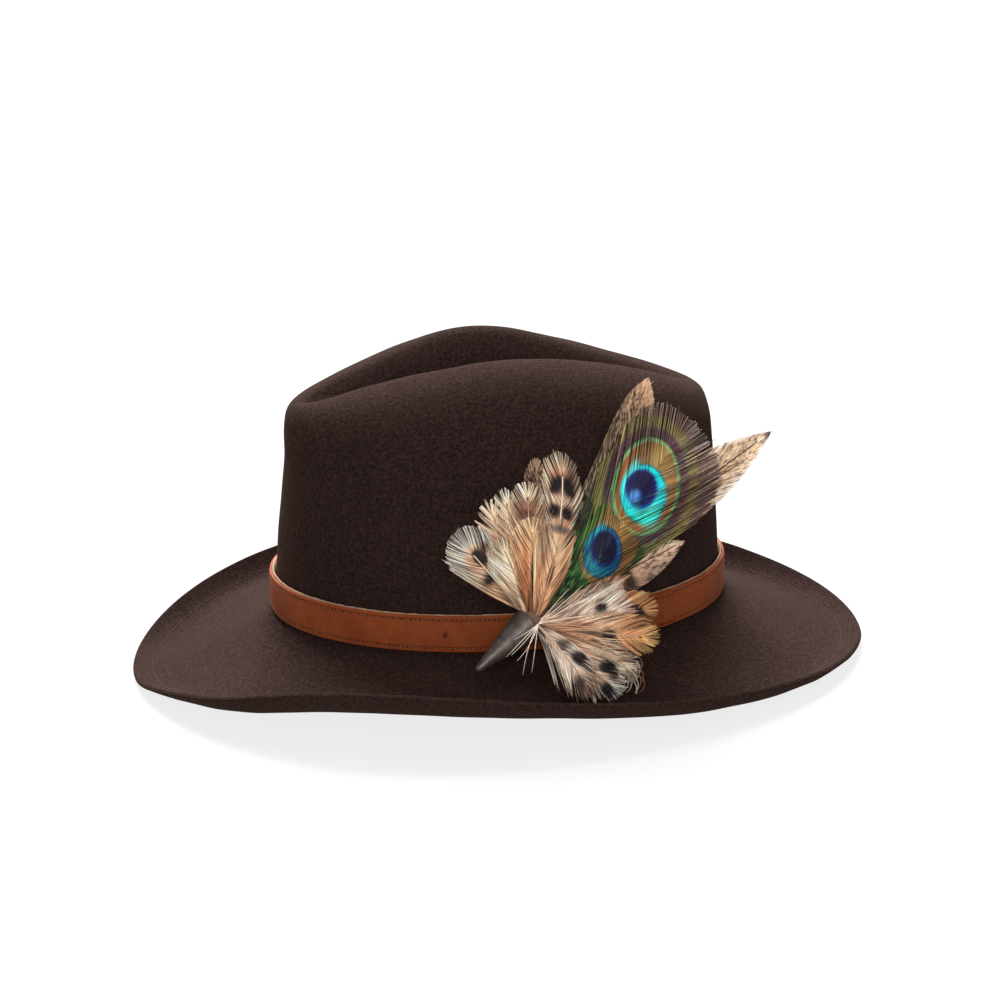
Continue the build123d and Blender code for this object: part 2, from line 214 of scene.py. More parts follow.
# ------------------------ materials
class Surface:
    """A principled material with procedural nodes in object space, in metres."""

    def __init__(self, name, roughness, **sockets):
        self.material = bpy.data.materials.new(name)
        self.material.use_nodes = True
        self.nodes = self.material.node_tree.nodes
        self.links = self.material.node_tree.links
        self.shader = self.nodes["Principled BSDF"]
        self.shader.inputs["Roughness"].default_value = roughness
        for socket, value in sockets.items():
            self.shader.inputs[socket.replace("_", " ")].default_value = value
        self.place = self.nodes.new("ShaderNodeTexCoord").outputs["Object"]

    def plug(self, socket, value):
        """Gives a socket its value, or links it to another node's output."""
        if isinstance(value, bpy.types.NodeSocket):
            self.links.new(value, socket)
        else:
            socket.default_value = value

    def node(self, kind, output, **sockets):
        node = self.nodes.new("ShaderNode" + kind)
        for name, value in sockets.items():
            self.plug(node.inputs[name.replace("_", " ")], value)
        return node.outputs[output]

    def part(self, axis):
        """One of the three coordinates, in metres."""
        return self.node("SeparateXYZ", axis, Vector=self.place)

    def stretch(self, x, y, z):
        return self.node("Mapping", "Vector", Scale=(x, y, z), Vector=self.place)

    def noise(self, size, detail=3.0, roughness=0.55, place=None):
        """Noise whose grains are about size mm across."""
        return self.node("TexNoise", "Fac", Scale=1 / (size * MM), Detail=detail, Roughness=roughness,
                         Vector=place or self.place)

    def cells(self, size):
        """Distance from the middles of cells about size mm across."""
        return self.node("TexVoronoi", "Distance", Scale=1 / (size * MM), Vector=self.place)

    def ramp(self, value, low, high, first=0.0, second=1.0):
        return self.node("MapRange", "Result", From_Min=low, From_Max=high, To_Min=first, To_Max=second,
                         Value=value)

    def join(self, first, second, operation):
        node = self.nodes.new("ShaderNodeMath")
        node.operation = operation
        for socket, value in zip(node.inputs, (first, second)):
            self.plug(socket, value)
        return node.outputs["Value"]

    def mix(self, factor, first, second, blend="MIX"):
        """Blends two colours, each three numbers or a node's output."""
        node = self.nodes.new("ShaderNodeMix")
        node.data_type = "RGBA"
        node.blend_type = blend
        for socket, value in (("Factor_Float", factor), ("A_Color", first), ("B_Color", second)):
            target = next(s for s in node.inputs if s.identifier == socket)
            self.plug(target, (*value, 1.0) if isinstance(value, tuple) else value)
        return next(s for s in node.outputs if s.identifier == "Result_Color")

    def tinge(self, value, strength, under, over):
        """Lays the colour over on the colour under, by value times strength."""
        return self.mix(self.join(value, strength, "MULTIPLY"), under, over)

    def attribute(self, name):
        node = self.nodes.new("ShaderNodeAttribute")
        node.attribute_name = name
        return node.outputs["Color"]

    def colour(self, value):
        self.links.new(value, self.shader.inputs["Base Color"])

    def rough(self, value):
        self.links.new(value, self.shader.inputs["Roughness"])

    def bump(self, height, depth, strength, **after):
        """Bump with its depth in mm; Normal in after is an earlier bump's output."""
        normal = self.node("Bump", "Normal", Strength=strength, Distance=depth * MM, Height=height, **after)
        self.links.new(normal, self.shader.inputs["Normal"])
        return normal


def felt_material():
    s = Surface("wool_felt", 1.0, Sheen_Weight=0.020, Sheen_Roughness=0.5, Sheen_Tint=(0.90, 0.44, 0.24, 1),
                Specular_IOR_Level=0.02)
    patches = s.ramp(s.noise(24, 4), 0.3, 0.7)
    nap = s.ramp(s.noise(1.4, 6, 0.8), 0.42, 0.66)
    lint = s.ramp(s.noise(0.45, 2), 0.62, 0.8)
    base = s.mix(patches, (0.0082, 0.0052, 0.0051), (0.0120, 0.0069, 0.0064))
    base = s.mix(nap, base, (0.036, 0.0195, 0.0160))
    s.colour(s.tinge(lint, 0.35, base, (0.10, 0.062, 0.052)))
    soft = s.bump(s.noise(3.2, 4, 0.6), 0.5, 0.25)
    s.bump(s.noise(1.0, 6, 0.75), 0.5, 0.8, Normal=soft)
    return s.material


def leather_material(name, dark, light, roughness, grain=1.0, rows=()):
    """Leather; rows are the heights above the break where each stitch's needle hole gets painted shade."""
    s = Surface(name, roughness, Specular_IOR_Level=0.06)
    broad = s.ramp(s.noise(16, 5, 0.6), 0.32, 0.7)
    fine = s.ramp(s.noise(1.3, 5, 0.65), 0.3, 0.75)
    tone = s.mix(broad, dark, light)
    tone = s.tinge(fine, 0.45, tone, tuple(0.62 * c for c in dark))
    streak = s.ramp(s.noise(0.9, 3, 0.5, s.stretch(0.12, 0.12, 1.0)), 0.56, 0.75)
    tone = s.tinge(streak, 0.22, tone, tuple(1.25 * c for c in light))
    # painted shade in the needle hole of each stitch along the rows
    for row in rows:
        away = s.join(s.join(s.part("Z"), (BREAK + row) * MM, "SUBTRACT"), 0.0, "ABSOLUTE")
        near = s.ramp(away, 0.3 * MM, 0.75 * MM, 1.0, 0.0)
        hole_shade = s.join(near, s.ramp(s.noise(0.9, 1), 0.35, 0.6), "MULTIPLY")
        tone = s.tinge(hole_shade, 0.85, tone, tuple(0.16 * c for c in dark))
    s.colour(tone)
    s.rough(s.ramp(fine, 0.0, 1.0, roughness - 0.08, roughness + 0.12))
    pores = s.ramp(s.cells(0.75), 0.0, 0.5)
    first = s.bump(pores, 0.10 * grain, 0.55)
    s.bump(s.noise(2.6, 5, 0.6), 0.22 * grain, 0.35, Normal=first)
    return s.material


def thread_material(name, dark, light, pitch=0.5, sheen=0.3):
    s = Surface(name, 0.7, Sheen_Weight=sheen, Sheen_Roughness=0.4, Specular_IOR_Level=sheen)
    twist = s.nodes.new("ShaderNodeTexWave")
    twist.bands_direction = "DIAGONAL"
    twist.inputs["Scale"].default_value = 1 / (pitch * MM) / 3
    twist.inputs["Distortion"].default_value = 1.5
    s.links.new(s.place, twist.inputs["Vector"])
    s.colour(s.tinge(twist.outputs["Fac"], s.noise(2.0), dark, light))
    s.bump(twist.outputs["Fac"], 0.06, 0.8)
    return s.material


def feather_material(name, roughness, sheen, specular, tint=(1, 0.95, 0.9)):
    s = Surface(name, roughness, Sheen_Weight=sheen, Sheen_Roughness=0.4, Sheen_Tint=(*tint, 1),
                Specular_IOR_Level=specular)
    tinted = s.attribute("tint")
    hair = s.ramp(s.noise(0.35, 3, 0.6), 0.25, 0.8, 0.78, 1.18)
    grey = s.nodes.new("ShaderNodeCombineColor")
    for socket in grey.inputs:
        s.links.new(hair, socket)
    s.colour(s.mix(1.0, tinted, grey.outputs["Color"], "MULTIPLY"))
    s.bump(s.noise(0.22, 2), 0.05, 0.6)
    return s.material


def metal_material(name, dark, light, metallic, roughness, grain=0.6):
    s = Surface(name, roughness, Metallic=metallic, Specular_IOR_Level=0.5)
    cloud = s.ramp(s.noise(4.5 * grain, 5, 0.6), 0.3, 0.72)
    s.colour(s.mix(cloud, dark, light))
    s.rough(s.ramp(s.noise(1.2 * grain, 4, 0.6), 0.25, 0.8, roughness - 0.08, roughness + 0.16))
    s.bump(s.noise(0.8 * grain, 4, 0.6), 0.05, 0.5)
    return s.material


felt = felt_material()
tan_leather = leather_material("tan_leather", (0.175, 0.037, 0.0105), (0.235, 0.055, 0.016), 0.62, rows=ROWS)
raw_leather = leather_material("raw_leather", (0.24, 0.14, 0.09), (0.38, 0.25, 0.17), 0.85, 1.4)
dark_leather = leather_material("sweatband_leather", (0.060, 0.030, 0.019), (0.095, 0.050, 0.032), 0.5, 0.8)
pad_leather = leather_material("backing_leather", (0.045, 0.026, 0.018), (0.075, 0.045, 0.032), 0.7, 1.2)
brim_thread = thread_material("brim_thread", (0.030, 0.018, 0.013), (0.090, 0.056, 0.040), 0.5, 0.05)
leather_thread = thread_material("leather_thread", (0.15, 0.045, 0.018), (0.40, 0.15, 0.07), 0.4, 0.06)
tack_thread = thread_material("tack_thread", (0.045, 0.014, 0.007), (0.12, 0.035, 0.015), 0.4, 0.05)
brown_thread = thread_material("brown_thread", (0.10, 0.055, 0.03), (0.24, 0.14, 0.08), 0.4)
ribbon_cloth = thread_material("ribbon_cloth", (0.030, 0.020, 0.018), (0.075, 0.052, 0.045), 0.6)
gunmetal = metal_material("gunmetal", (0.040, 0.031, 0.027), (0.108, 0.083, 0.071), 0.40, 0.38)
steel = metal_material("steel", (0.42, 0.42, 0.43), (0.60, 0.60, 0.61), 1.0, 0.22)
brass = metal_material("brass", (0.48, 0.33, 0.12), (0.66, 0.47, 0.20), 1.0, 0.26)

for node, finish in (("pin_spine", pad_leather), ("pin_post", steel), ("pin_clutch", brass)):
    holder = frame["nodes"][node]
    holder.data.materials.clear()
    holder.data.materials.append(finish)

# ------------------------ the blocked felt
BRIM_HALF = np.array([169.5, 141.0])
BREAK_HALF = np.array([106.8, 87.6])
BREAK_DROP = 1.8
TABLE_DROP = 28.0
FELT = 2.4
# How the crown's rings go, from the bottom of the dent outwards and down to the break:
# half length, half width, shift, height at sides, front, back, fullness, lop (mm above the break)
CROWN = [
    (56.0, 3.5, -4.0, 90.0, 90.0, 90.0, 0.0, 0.0),
    (66.0, 8.0, -4.0, 91.4, 90.6, 90.4, 0.0, 0.0),
    (75.5, 15.0, -3.8, 98.0, 92.5, 91.6, -0.05, 0.4),
    (83.0, 24.5, -3.3, 111.0, 95.6, 93.2, -0.15, 0.8),
    (88.8, 32.8, -1.8, 118.2, 97.4, 95.0, -0.20, 1.0),
    (93.0, 42.6, -0.6, 116.4, 96.8, 94.8, -0.12, 0.8),
    (96.6, 56.6, 0.6, 107.5, 93.0, 92.0, 0.0, 0.4),
    (98.4, 67.8, 1.1, 92.0, 85.0, 85.0, 0.06, 0.0),
    (99.3, 74.7, 1.4, 74.0, 70.0, 70.5, 0.05, 0.0),
    (100.5, 79.4, 0.8, 52.0, 51.0, 50.0, 0.02, 0.0),
    (102.1, 82.6, 0.5, 34.0, 34.0, 34.0, 0.0, 0.0),
    (103.1, 84.0, 0.2, 18.0, 18.0, 18.0, 0.0, 0.0),
    (103.5, 84.4, 0.0, 7.0, 7.0, 7.0, 0.0, 0.0),
    (103.7, 84.5, 0.0, 2.0, 2.0, 2.0, 0.0, 0.0),
    (103.9, 84.7, 0.0, 0.2, 0.2, 0.2, 0.0, 0.0),
    (104.9, 85.7, 0.0, -1.1, -1.1, -1.1, 0.0, 0.0),
    (106.8, 87.6, 0.0, -1.8, -1.8, -1.8, 0.0, 0.0),
]
# How far each ring of the brim lies between the break, 0, and its edge, 1.
BRIM = [0.08, 0.2, 0.34, 0.48, 0.6, 0.69, 0.76, 0.82, 0.88, 0.93, 0.97, 1.0]


def corner_dip(u):
    """How far the near left corner of the brim hangs below the even curve."""
    return 2.4 * np.exp((np.cos(u - math.radians(213)) - 1) / 0.030)


def edge_height(u):
    """Height of the brim's edge above the break."""
    rise = -12.95 - corner_dip(u) - 2.17 * np.cos(u) - 8.8 * np.cos(2 * u)
    rise = rise + 2.9 * np.cos(3 * u) - 1.35 * np.cos(4 * u)
    return rise + 4.4 * np.sin(2 * u) - 1.0 * np.sin(3 * u)


def valley_height(u):
    """Height that the brim would reach at its edge without its curl, kept above the table."""
    low = -21.9 - corner_dip(u) - 2.5 * np.cos(u) - 6.3 * np.cos(2 * u)
    low = low + 2.5 * np.cos(3 * u) - 0.2 * np.cos(4 * u)
    low = low - 0.25 * np.sin(u) + 3.2 * np.sin(2 * u) - 1.1 * np.sin(3 * u)
    over = low + TABLE_DROP
    return -TABLE_DROP + 0.5 * (over + np.sqrt(over * over + 0.6))


def crown_ring(section, u):
    half_length, half_width, shift, side, front, back, full, lop = section
    c, s = np.cos(u), np.sin(u)
    x = shift + half_length * c * (1 + 0.5 * full * s * s)
    y = half_width * s * (1 + full * c * c)
    z = side + 0.5 * (back - front) * c + (0.5 * (back + front) - side) * np.abs(c) ** 1.7
    z = z - 10.0 * lop * s * c * c * s * s
    return np.stack([x, y, z + BREAK], -1)


def brim_ring(r, u):
    low = valley_height(u)
    fall = 1 - (1 - r) ** 1.55
    curl = max(0.0, (r - 0.74) / 0.26) ** 2
    x = np.cos(u) * (BREAK_HALF[0] + (BRIM_HALF[0] - BREAK_HALF[0]) * r)
    y = np.sin(u) * (BREAK_HALF[1] + (BRIM_HALF[1] - BREAK_HALF[1]) * r)
    z = -BREAK_DROP + (low + BREAK_DROP) * fall + (edge_height(u) - low) * curl
    return np.stack([x, y, z + BREAK], -1)


def smooth_chain(rings, step):
    """Rings between the given ones along smooth curves, about step mm apart."""
    mirrored = rings[0] * np.array([1, -1, 1])
    padded = [mirrored] + rings + [2 * rings[-1] - rings[-2]]
    out = []
    for i in range(1, len(padded) - 2):
        p0, p1, p2, p3 = padded[i - 1:i + 3]
        d1 = np.linalg.norm(p1 - p0, axis=-1, keepdims=True) + 0.5
        d2 = np.linalg.norm(p2 - p1, axis=-1, keepdims=True) + 1e-6
        d3 = np.linalg.norm(p3 - p2, axis=-1, keepdims=True) + 1e-6
        m1 = ((p1 - p0) / d1 * d2 + (p2 - p1) / d2 * d1) / (d1 + d2)
        m2 = ((p2 - p1) / d2 * d3 + (p3 - p2) / d3 * d2) / (d2 + d3)
        count = max(1, int(round(float(np.median(d2)) / step)))
        for k in range(count):
            t = k / count
            out.append(
                (2 * t**3 - 3 * t**2 + 1) * p1 + (t**3 - 2 * t**2 + t) * d2 * m1
                + (3 * t**2 - 2 * t**3) * p2 + (t**3 - t**2) * d2 * m2
            )
    out.append(rings[-1])
    return np.array(out)


def felt_ripple(points):
    return 0.34 * waves(points, 38, 3) + 0.12 * waves(points, 14, 4)


def grid_normals(rings):
    across = np.gradient(rings, axis=0)
    around = (np.roll(rings, -1, 1) - np.roll(rings, 1, 1)) / 2
    return unit(np.cross(around, -across))


def make_felt():
    u = np.radians(np.arange(360))
    rings = [crown_ring(section, u) for section in CROWN] + [brim_ring(r, u) for r in BRIM]
    outer = smooth_chain(rings, 2.6)
    normals = grid_normals(outer)
    height = outer[..., 2] - BREAK
    reach = np.hypot(outer[..., 0] / BREAK_HALF[0], outer[..., 1] / BREAK_HALF[1])
    free = smooth_step(22, 40, height) + smooth_step(1.08, 1.3, reach)
    outer = outer + normals * (felt_ripple(outer) * free)[..., None]
    normals = grid_normals(outer)
    normals[0] = normals[1]
    inner = outer - normals * FELT
    # the cut edge: nearly square, with a soft arris
    tip = unit(outer[-1] - outer[-3])
    middle = (outer[-1] + inner[-1]) / 2
    half = (outer[-1] - inner[-1]) / 2
    rim = []
    for angle in np.radians([14, 32, 54, 76, 104, 126, 148, 166]):
        c, s = math.cos(angle), math.sin(angle)
        rim.append(middle + half * (math.copysign(abs(c) ** 0.62, c)) + tip * 0.8 * s ** 0.62)
    skin = np.concatenate([outer, np.array(rim), inner[::-1]])
    shape = Shape()
    shape.grid(skin, wrap_columns=True)
    # a strip of quads across the dent's floor, and across the ceiling under it
    around = len(u)
    for row, flip in ((0, True), (len(skin) - 1, False)):
        left = np.arange(0, around // 2)
        a, b = row * around + left, row * around + left + 1
        c, d = row * around + (around - left - 1) % around, row * around + (around - left) % around
        strip = np.stack([a, b, c, d] if flip else [d, c, b, a], -1)
        shape.quads.append(strip[1:-1])
        for quad in strip[[0, -1]]:
            shape.tris.append(np.array([list(dict.fromkeys(quad.tolist()))]))
    return shape.make("felt_hat", felt, "hat", ["felt_body"])


make_felt()


# ------------------------ stitches
def stitch_row(shape, starts, ends, outward, radius, rise):
    """Arched threads from starts to ends, thin where they enter the material."""
    t = np.linspace(0, 1, 7)
    arch = 4 * t * (1 - t)
    paths = (
        starts[:, None] * (1 - t)[None, :, None] + ends[:, None] * t[None, :, None]
        + outward[:, None] * (rise * arch - 0.35 * radius * (1 - arch) ** 3)[None, :, None]
    )
    fat = radius * (0.35 + 0.65 * np.clip(arch * 1.9, 0, 1) ** 0.5)
    radii = np.broadcast_to(fat, paths.shape[:2])
    up = np.broadcast_to(outward[:, None], paths.shape)
    shape.tubes(paths, radii, up, 7)


def make_brim_stitching():
    r = 0.875
    nudge = 0.01
    count = 284
    dense = np.linspace(0, TURN, 4001)
    length = run_length(brim_ring(r, dense))
    rng = np.random.default_rng(21)
    pitch = length[-1] / count
    centre = (np.arange(count) + 0.5) * pitch + rng.normal(0, 0.12, count)
    ends = []
    for part in (-0.29, 0.29):
        u = np.interp((centre + part * pitch) % length[-1], length, dense)
        here = brim_ring(r, u)
        around = brim_ring(r, u + nudge) - brim_ring(r, u - nudge)
        out = unit(np.cross(around, here - brim_ring(r + nudge, u)))
        ends.append((here + out * (felt_ripple(here)[:, None] - 0.04), out))
    (first, first_out), (last, last_out) = ends
    shape = Shape()
    stitch_row(shape, first, last, unit(first_out + last_out), 0.26, 0.24)
    return shape.make("brim_stitches", brim_thread, "hat", ["brim_stitching"])


make_brim_stitching()

# ------------------------ ellipses round the head
def oval(half, u, height=0.0):
    """Points on a level ellipse."""
    return np.stack([half[0] * np.cos(u), half[1] * np.sin(u), height + 0 * u], -1)


def oval_normal(half, u):
    return unit(np.stack([np.cos(u) / half[0], np.sin(u) / half[1], 0 * u], -1))


def ellipse_steps(half, count):
    """Angles at equal steps of arc length round an ellipse, and its whole length."""
    u = np.linspace(0, TURN, 6001)
    length = run_length(oval(half, u))
    return np.interp(np.linspace(0, length[-1], count + 1), length, u)[:-1], length[-1]


def ellipse_place(half, u, out, height):
    """Points at a distance out from the ellipse, and the outward direction there."""
    normal = oval_normal(half, u)
    point = oval(half, u) + normal * np.asarray(out)[..., None]
    point[..., 2] = BREAK + height
    return point, normal


def rounded(edge, size):
    """Step back of a face near its arris of the given size: edge is 0 at the edge and 1 past the arris."""
    return 0.0 if edge >= 1 else -size * (1 - math.sqrt(max(0.0, 1 - (1 - edge) ** 2)))


def arris_heights(low, high, size, margin, ends, middle):
    """Heights up a face, closer together at its two arrises."""
    bend = size * (1 - np.cos(np.linspace(0, math.pi / 2, ends)))
    return np.concatenate([low + bend, np.linspace(low + margin, high - margin, middle), high - bend[::-1]])


# ------------------------ the leather hatband
BAND_HALF = np.array([106.2, 87.0])
STITCH_DEPTH = 0.16


def band_share(height):
    return (height - BAND_LOW) / (BAND_HIGH - BAND_LOW)


def belly(share):
    """How far the middle of the strap stands out from its edges."""
    return 0.22 * math.sin(math.pi * share) ** 0.8


def band_waves(ring):
    """The strap's slow rise and fall, and how unevenly it stands out."""
    return 0.16 * waves(ring, 60, 11), 0.10 * waves(ring, 26, 12)


def strap(u, heights, outs, thickness, closed, name, material, replaces):
    """A strap round the crown: heights and outs are stations x around arrays of its outer face."""
    face = [ellipse_place(BAND_HALF, u, out, height)[0] for height, out in zip(heights, outs)]
    behind = np.full(len(u), -thickness)
    back = [ellipse_place(BAND_HALF, u, behind, edge)[0] for edge in (heights[-1] - 0.15, heights[0] + 0.15)]
    loop = np.array(face + back)
    shape = Shape()
    shape.grid(loop, wrap_rows=True, wrap_columns=closed)
    if not closed:
        for column in (0, len(u) - 1):
            ring = np.arange(len(loop)) * len(u) + column
            shape.cap(ring, loop[:, column].mean(0), column == 0)
    return shape.make(name, material, "hat", replaces)


def make_hatband_face():
    around = 4 * BAND_STITCHES
    u, _ = ellipse_steps(BAND_HALF, around)
    hole = 0.5 + 0.5 * np.cos(TURN * np.arange(around) / 4.0)
    lift, swell = band_waves(oval(BAND_HALF, u))
    arris = 0.5
    heights, outs = [], []
    for height in arris_heights(BAND_LOW, BAND_HIGH, arris, 0.75, 6, 46):
        share = band_share(height)
        edge = min(height - BAND_LOW, BAND_HIGH - height) / arris
        out = np.full(around, rounded(edge, arris) + belly(share))
        for row in ROWS:
            gap = (height - row) / 0.34
            out = out - math.exp(-gap * gap) * (0.16 + 0.52 * hole**2)
        heights.append(height + lift * (0.4 + 0.6 * share))
        outs.append(out + swell * share)
    strap(u, heights, outs, 1.15, True, "hatband_leather", tan_leather, ["hatband_face"])


def make_hatband_backing():
    """The raw layer behind the face, a hair taller, and more so at the front and back."""
    u, _ = ellipse_steps(BAND_HALF, 420)
    ring = oval(BAND_HALF, u)
    lift = band_waves(ring)[0]
    fray = 0.10 * waves(ring, 3.0, 13)
    low, high = BAND_LOW - 0.15 + 0 * u, BAND_HIGH + 0.05 + 0.42 * np.abs(np.cos(u)) ** 1.5
    heights = [low, low + 0.25, high - 0.3 + lift, high + lift + fray, high + 0.05 + lift + fray]
    outs = [out + 0 * u for out in (-1.55, -1.22, -1.22, -1.32, -1.6)]
    strap(u, heights, outs, 2.0, True, "hatband_raw_layer", raw_leather, ["hatband_backing"])


def make_hatband_stitching():
    u, length = ellipse_steps(BAND_HALF, BAND_STITCHES)
    pitch = length / BAND_STITCHES
    half_angle = 0.28 * pitch / np.hypot(BAND_HALF[0] * np.sin(u), BAND_HALF[1] * np.cos(u))
    lift, wave = band_waves(oval(BAND_HALF, u))
    jitter = TURN / 6000
    rng = np.random.default_rng(5)
    shape = Shape()
    for row in ROWS:
        middle = u + half_angle / 0.56 + jitter * rng.normal(0, 1.0, BAND_STITCHES)
        share = band_share(row)
        height = row + lift * (0.4 + 0.6 * share) + rng.normal(0, 0.03, BAND_STITCHES)
        out = wave * share + belly(share) - STITCH_DEPTH
        first, normal = ellipse_place(BAND_HALF, middle - half_angle, out, height)
        last, _ = ellipse_place(BAND_HALF, middle + half_angle, out, height)
        stitch_row(shape, first, last, normal, 0.23, 0.20)
    shape.make("hatband_stitches", leather_thread, "hat", ["hatband_stitching"])


def make_hatband_join():
    """The lapped end of the strap, with two upright rows of stitches."""
    centre = math.radians(-58.5)
    speed = math.hypot(BAND_HALF[0] * math.sin(centre), BAND_HALF[1] * math.cos(centre))
    reach, stations, arris = 7.5, 41, 0.4
    upright_rows = (2.2, 5.4)
    u = np.linspace(centre - reach / speed, centre + reach / speed, stations)
    along = np.linspace(-reach, reach, stations)
    end = np.clip((reach - np.abs(along)) / 0.5, 0, 1)
    low, high = BAND_LOW + 0.4, BAND_HIGH - 0.4
    heights, outs = [], []
    for height in arris_heights(low, high, arris, 0.6, 5, 22):
        edge = min(height - low, high - height) / arris
        out = 1.38 + rounded(edge, arris) - 0.45 * (1 - np.sqrt(1 - (1 - end) ** 2))
        for place in upright_rows:
            out = out - 0.22 * np.exp(-((along - place) / 0.4) ** 2)
        heights.append(np.full(stations, height))
        outs.append(out)
    strap(u, heights, outs, -0.28, False, "hatband_lap", tan_leather, ["hatband_join"])
    shape = Shape()
    for place in upright_rows:
        foot = np.arange(2.2, 14.6, 2.05)
        angle = np.full(len(foot), centre + place / speed)
        point, normal = ellipse_place(BAND_HALF, angle, np.full(len(foot), 1.2), foot)
        stitch_row(shape, point, point + np.array([0, 0, 1.45]), normal, 0.24, 0.16)
    shape.make("hatband_lap_stitches", leather_thread, "hat", ["hatband_join_stitching"])


def make_hatband_tack():
    """Two short crossing stitches of doubled thread."""
    shape = Shape()
    point, normal = ellipse_place(BAND_HALF, np.array([math.radians(-114.5)]), np.array([0.30]), 8.6)
    side = np.cross([0, 0, 1.0], normal)
    for lean, rise in ((-1.5, 0.5), (0.35, 1.7)):
        for shift in (-0.17, 0.17):
            reach = side * lean + np.array([[0, 0, rise]])
            offset = side * shift
            stitch_row(shape, point - reach + offset, point + reach + offset, normal, 0.24, 0.2)
    shape.make("hatband_tack_stitch", tack_thread, "hat", ["hatband_tack"])


make_hatband_face()
make_hatband_backing()
make_hatband_stitching()
make_hatband_join()
make_hatband_tack()


# ------------------------ inside the crown
def make_sweatband():
    low, high = 0.5, 36.0
    u = TURN * np.arange(420) / 420
    ring = oval((100, 80), u)
    wave = 0.5 * waves(ring, 45, 31)
    outer, inner = [], []
    for share in np.concatenate([np.linspace(0, 0.97, 26), [0.985, 0.995, 1.0]]):
        half = np.array([100.9 - 2.3 * share, 81.8 - 2.4 * share])
        height = BREAK + (low + (high - low) * share + wave * share**4)
        round_off = 0.5 - 0.5 * math.sqrt(max(0.0, 1 - max(0.0, (share - 0.97) / 0.03) ** 2))
        crease = 0.18 * math.exp(-((share * (high - low) - 2.7) / 0.5) ** 2)
        outer.append(oval(half - round_off, u, height))
        inner.append(oval(half - (1.0 - round_off + crease), u, height))
    shape = Shape()
    shape.grid(np.array(outer + inner[::-1]), wrap_rows=True, wrap_columns=True, flip=True)
    shape.make("sweatband_band", dark_leather, "hat", ["sweatband"])
    # the roll along its lower edge
    size = 0.9
    ring = []
    for angle in TURN * np.arange(12) / 12:
        out = size * math.cos(angle)
        ring.append(oval((100.3 + out, 81.2 + out), u, BREAK - 0.75 + size * math.sin(angle)))
    shape = Shape()
    shape.grid(np.array(ring), wrap_rows=True, wrap_columns=True)
    shape.make("sweatband_roll", dark_leather, "hat", ["sweatband_reed"])
    # zigzag row that holds the roll
    half = (99.7, 80.6)
    steps, _ = ellipse_steps(half, 300)
    low, high, third = [oval((99.62, 80.52), steps + shift, BREAK + height)
                        for shift, height in ((0.0, 2.6), (0.010, 3.9), (0.0203, 2.6))]
    shape = Shape()
    for first, last in ((low, high), (high, third)):
        stitch_row(shape, first, last, -oval_normal(half, steps), 0.17, 0.12)
    shape.make("sweatband_zigzag", brim_thread, "hat", ["sweatband_stitching"])


def make_bow():
    """A flat ribbon bow: two loops and a knot, facing into the crown."""
    shape = Shape()
    stations, around = 9, 40
    across = np.linspace(-1, 1, stations)
    turn = TURN * np.arange(around) / around
    middle, depth, reach = BREAK + 14, 97.35, 4.7
    for side in (-1, 1):
        sheet = []
        for v in across:
            y = side * (reach + 4.2 * np.cos(turn))
            pinch = 0.42 + 0.58 * smooth_step(0.4, 5.5, np.abs(y))
            x = depth + (0.42 - 0.12 * v * v) * np.sin(turn)
            z = middle + 2.5 * v * pinch + 0.25 * np.sin(3 * turn + side)
            sheet.append(np.stack([x, y, z], -1))
        sheet = np.array(sheet)
        inside = sheet + unit(np.array([depth, side * reach, middle]) - sheet) * 0.12
        shape.grid(np.concatenate([sheet, inside[::-1]]), wrap_rows=True, wrap_columns=True, flip=side > 0)
    knot = []
    for v in across:
        size = math.sqrt(max(0.02, 1 - v**4))
        x = 97.3 + 0.62 * np.sin(turn) * size
        y = 1.5 * np.cos(turn) * (0.85 + 0.15 * v * v)
        knot.append(np.stack([x, y, middle + 1.75 * v + 0 * turn], -1))
    start = shape.count
    shape.grid(np.array(knot), wrap_columns=True)
    for row in (0, stations - 1):
        shape.cap(start + row * around + np.arange(around), knot[row].mean(0), row == 0)
    shape.make("sweatband_ribbon_bow", ribbon_cloth, "hat", ["sweatband_bow"])


make_sweatband()
make_bow()

# ------------------------ the brooch's own directions
OUT = unit(np.array([0.12, -1.0, 0.20]))
ALONG = unit(np.array([1.0, 0.12, 0.0]))
UP = np.cross(OUT, ALONG)
GATHER = np.array([-10.0, -98.0, 17.0 + BREAK])
CONE_TURN = math.radians(213.0)
CONE_AXIS = ALONG * math.cos(CONE_TURN) + UP * math.sin(CONE_TURN)


def revolve(profile, sides, origin, axis, first, name, material, replaces, slant=0.0):
    """Closed skin of revolution: profile is (distance along axis, radius) in mm."""
    second = np.cross(axis, first)
    turn = TURN * np.arange(sides) / sides
    rings = []
    for along, radius in profile:
        lean = slant * np.cos(turn) * radius * max(0.0, 1 - along / 12)
        spoke = first * np.cos(turn)[:, None] + second * np.sin(turn)[:, None]
        rings.append(origin + axis * (along + lean)[:, None] + spoke * radius)
    shape = Shape()
    shape.grid(np.array(rings), wrap_rows=True, wrap_columns=True, flip=True)
    return shape.make(name, material, "brooch", replaces)


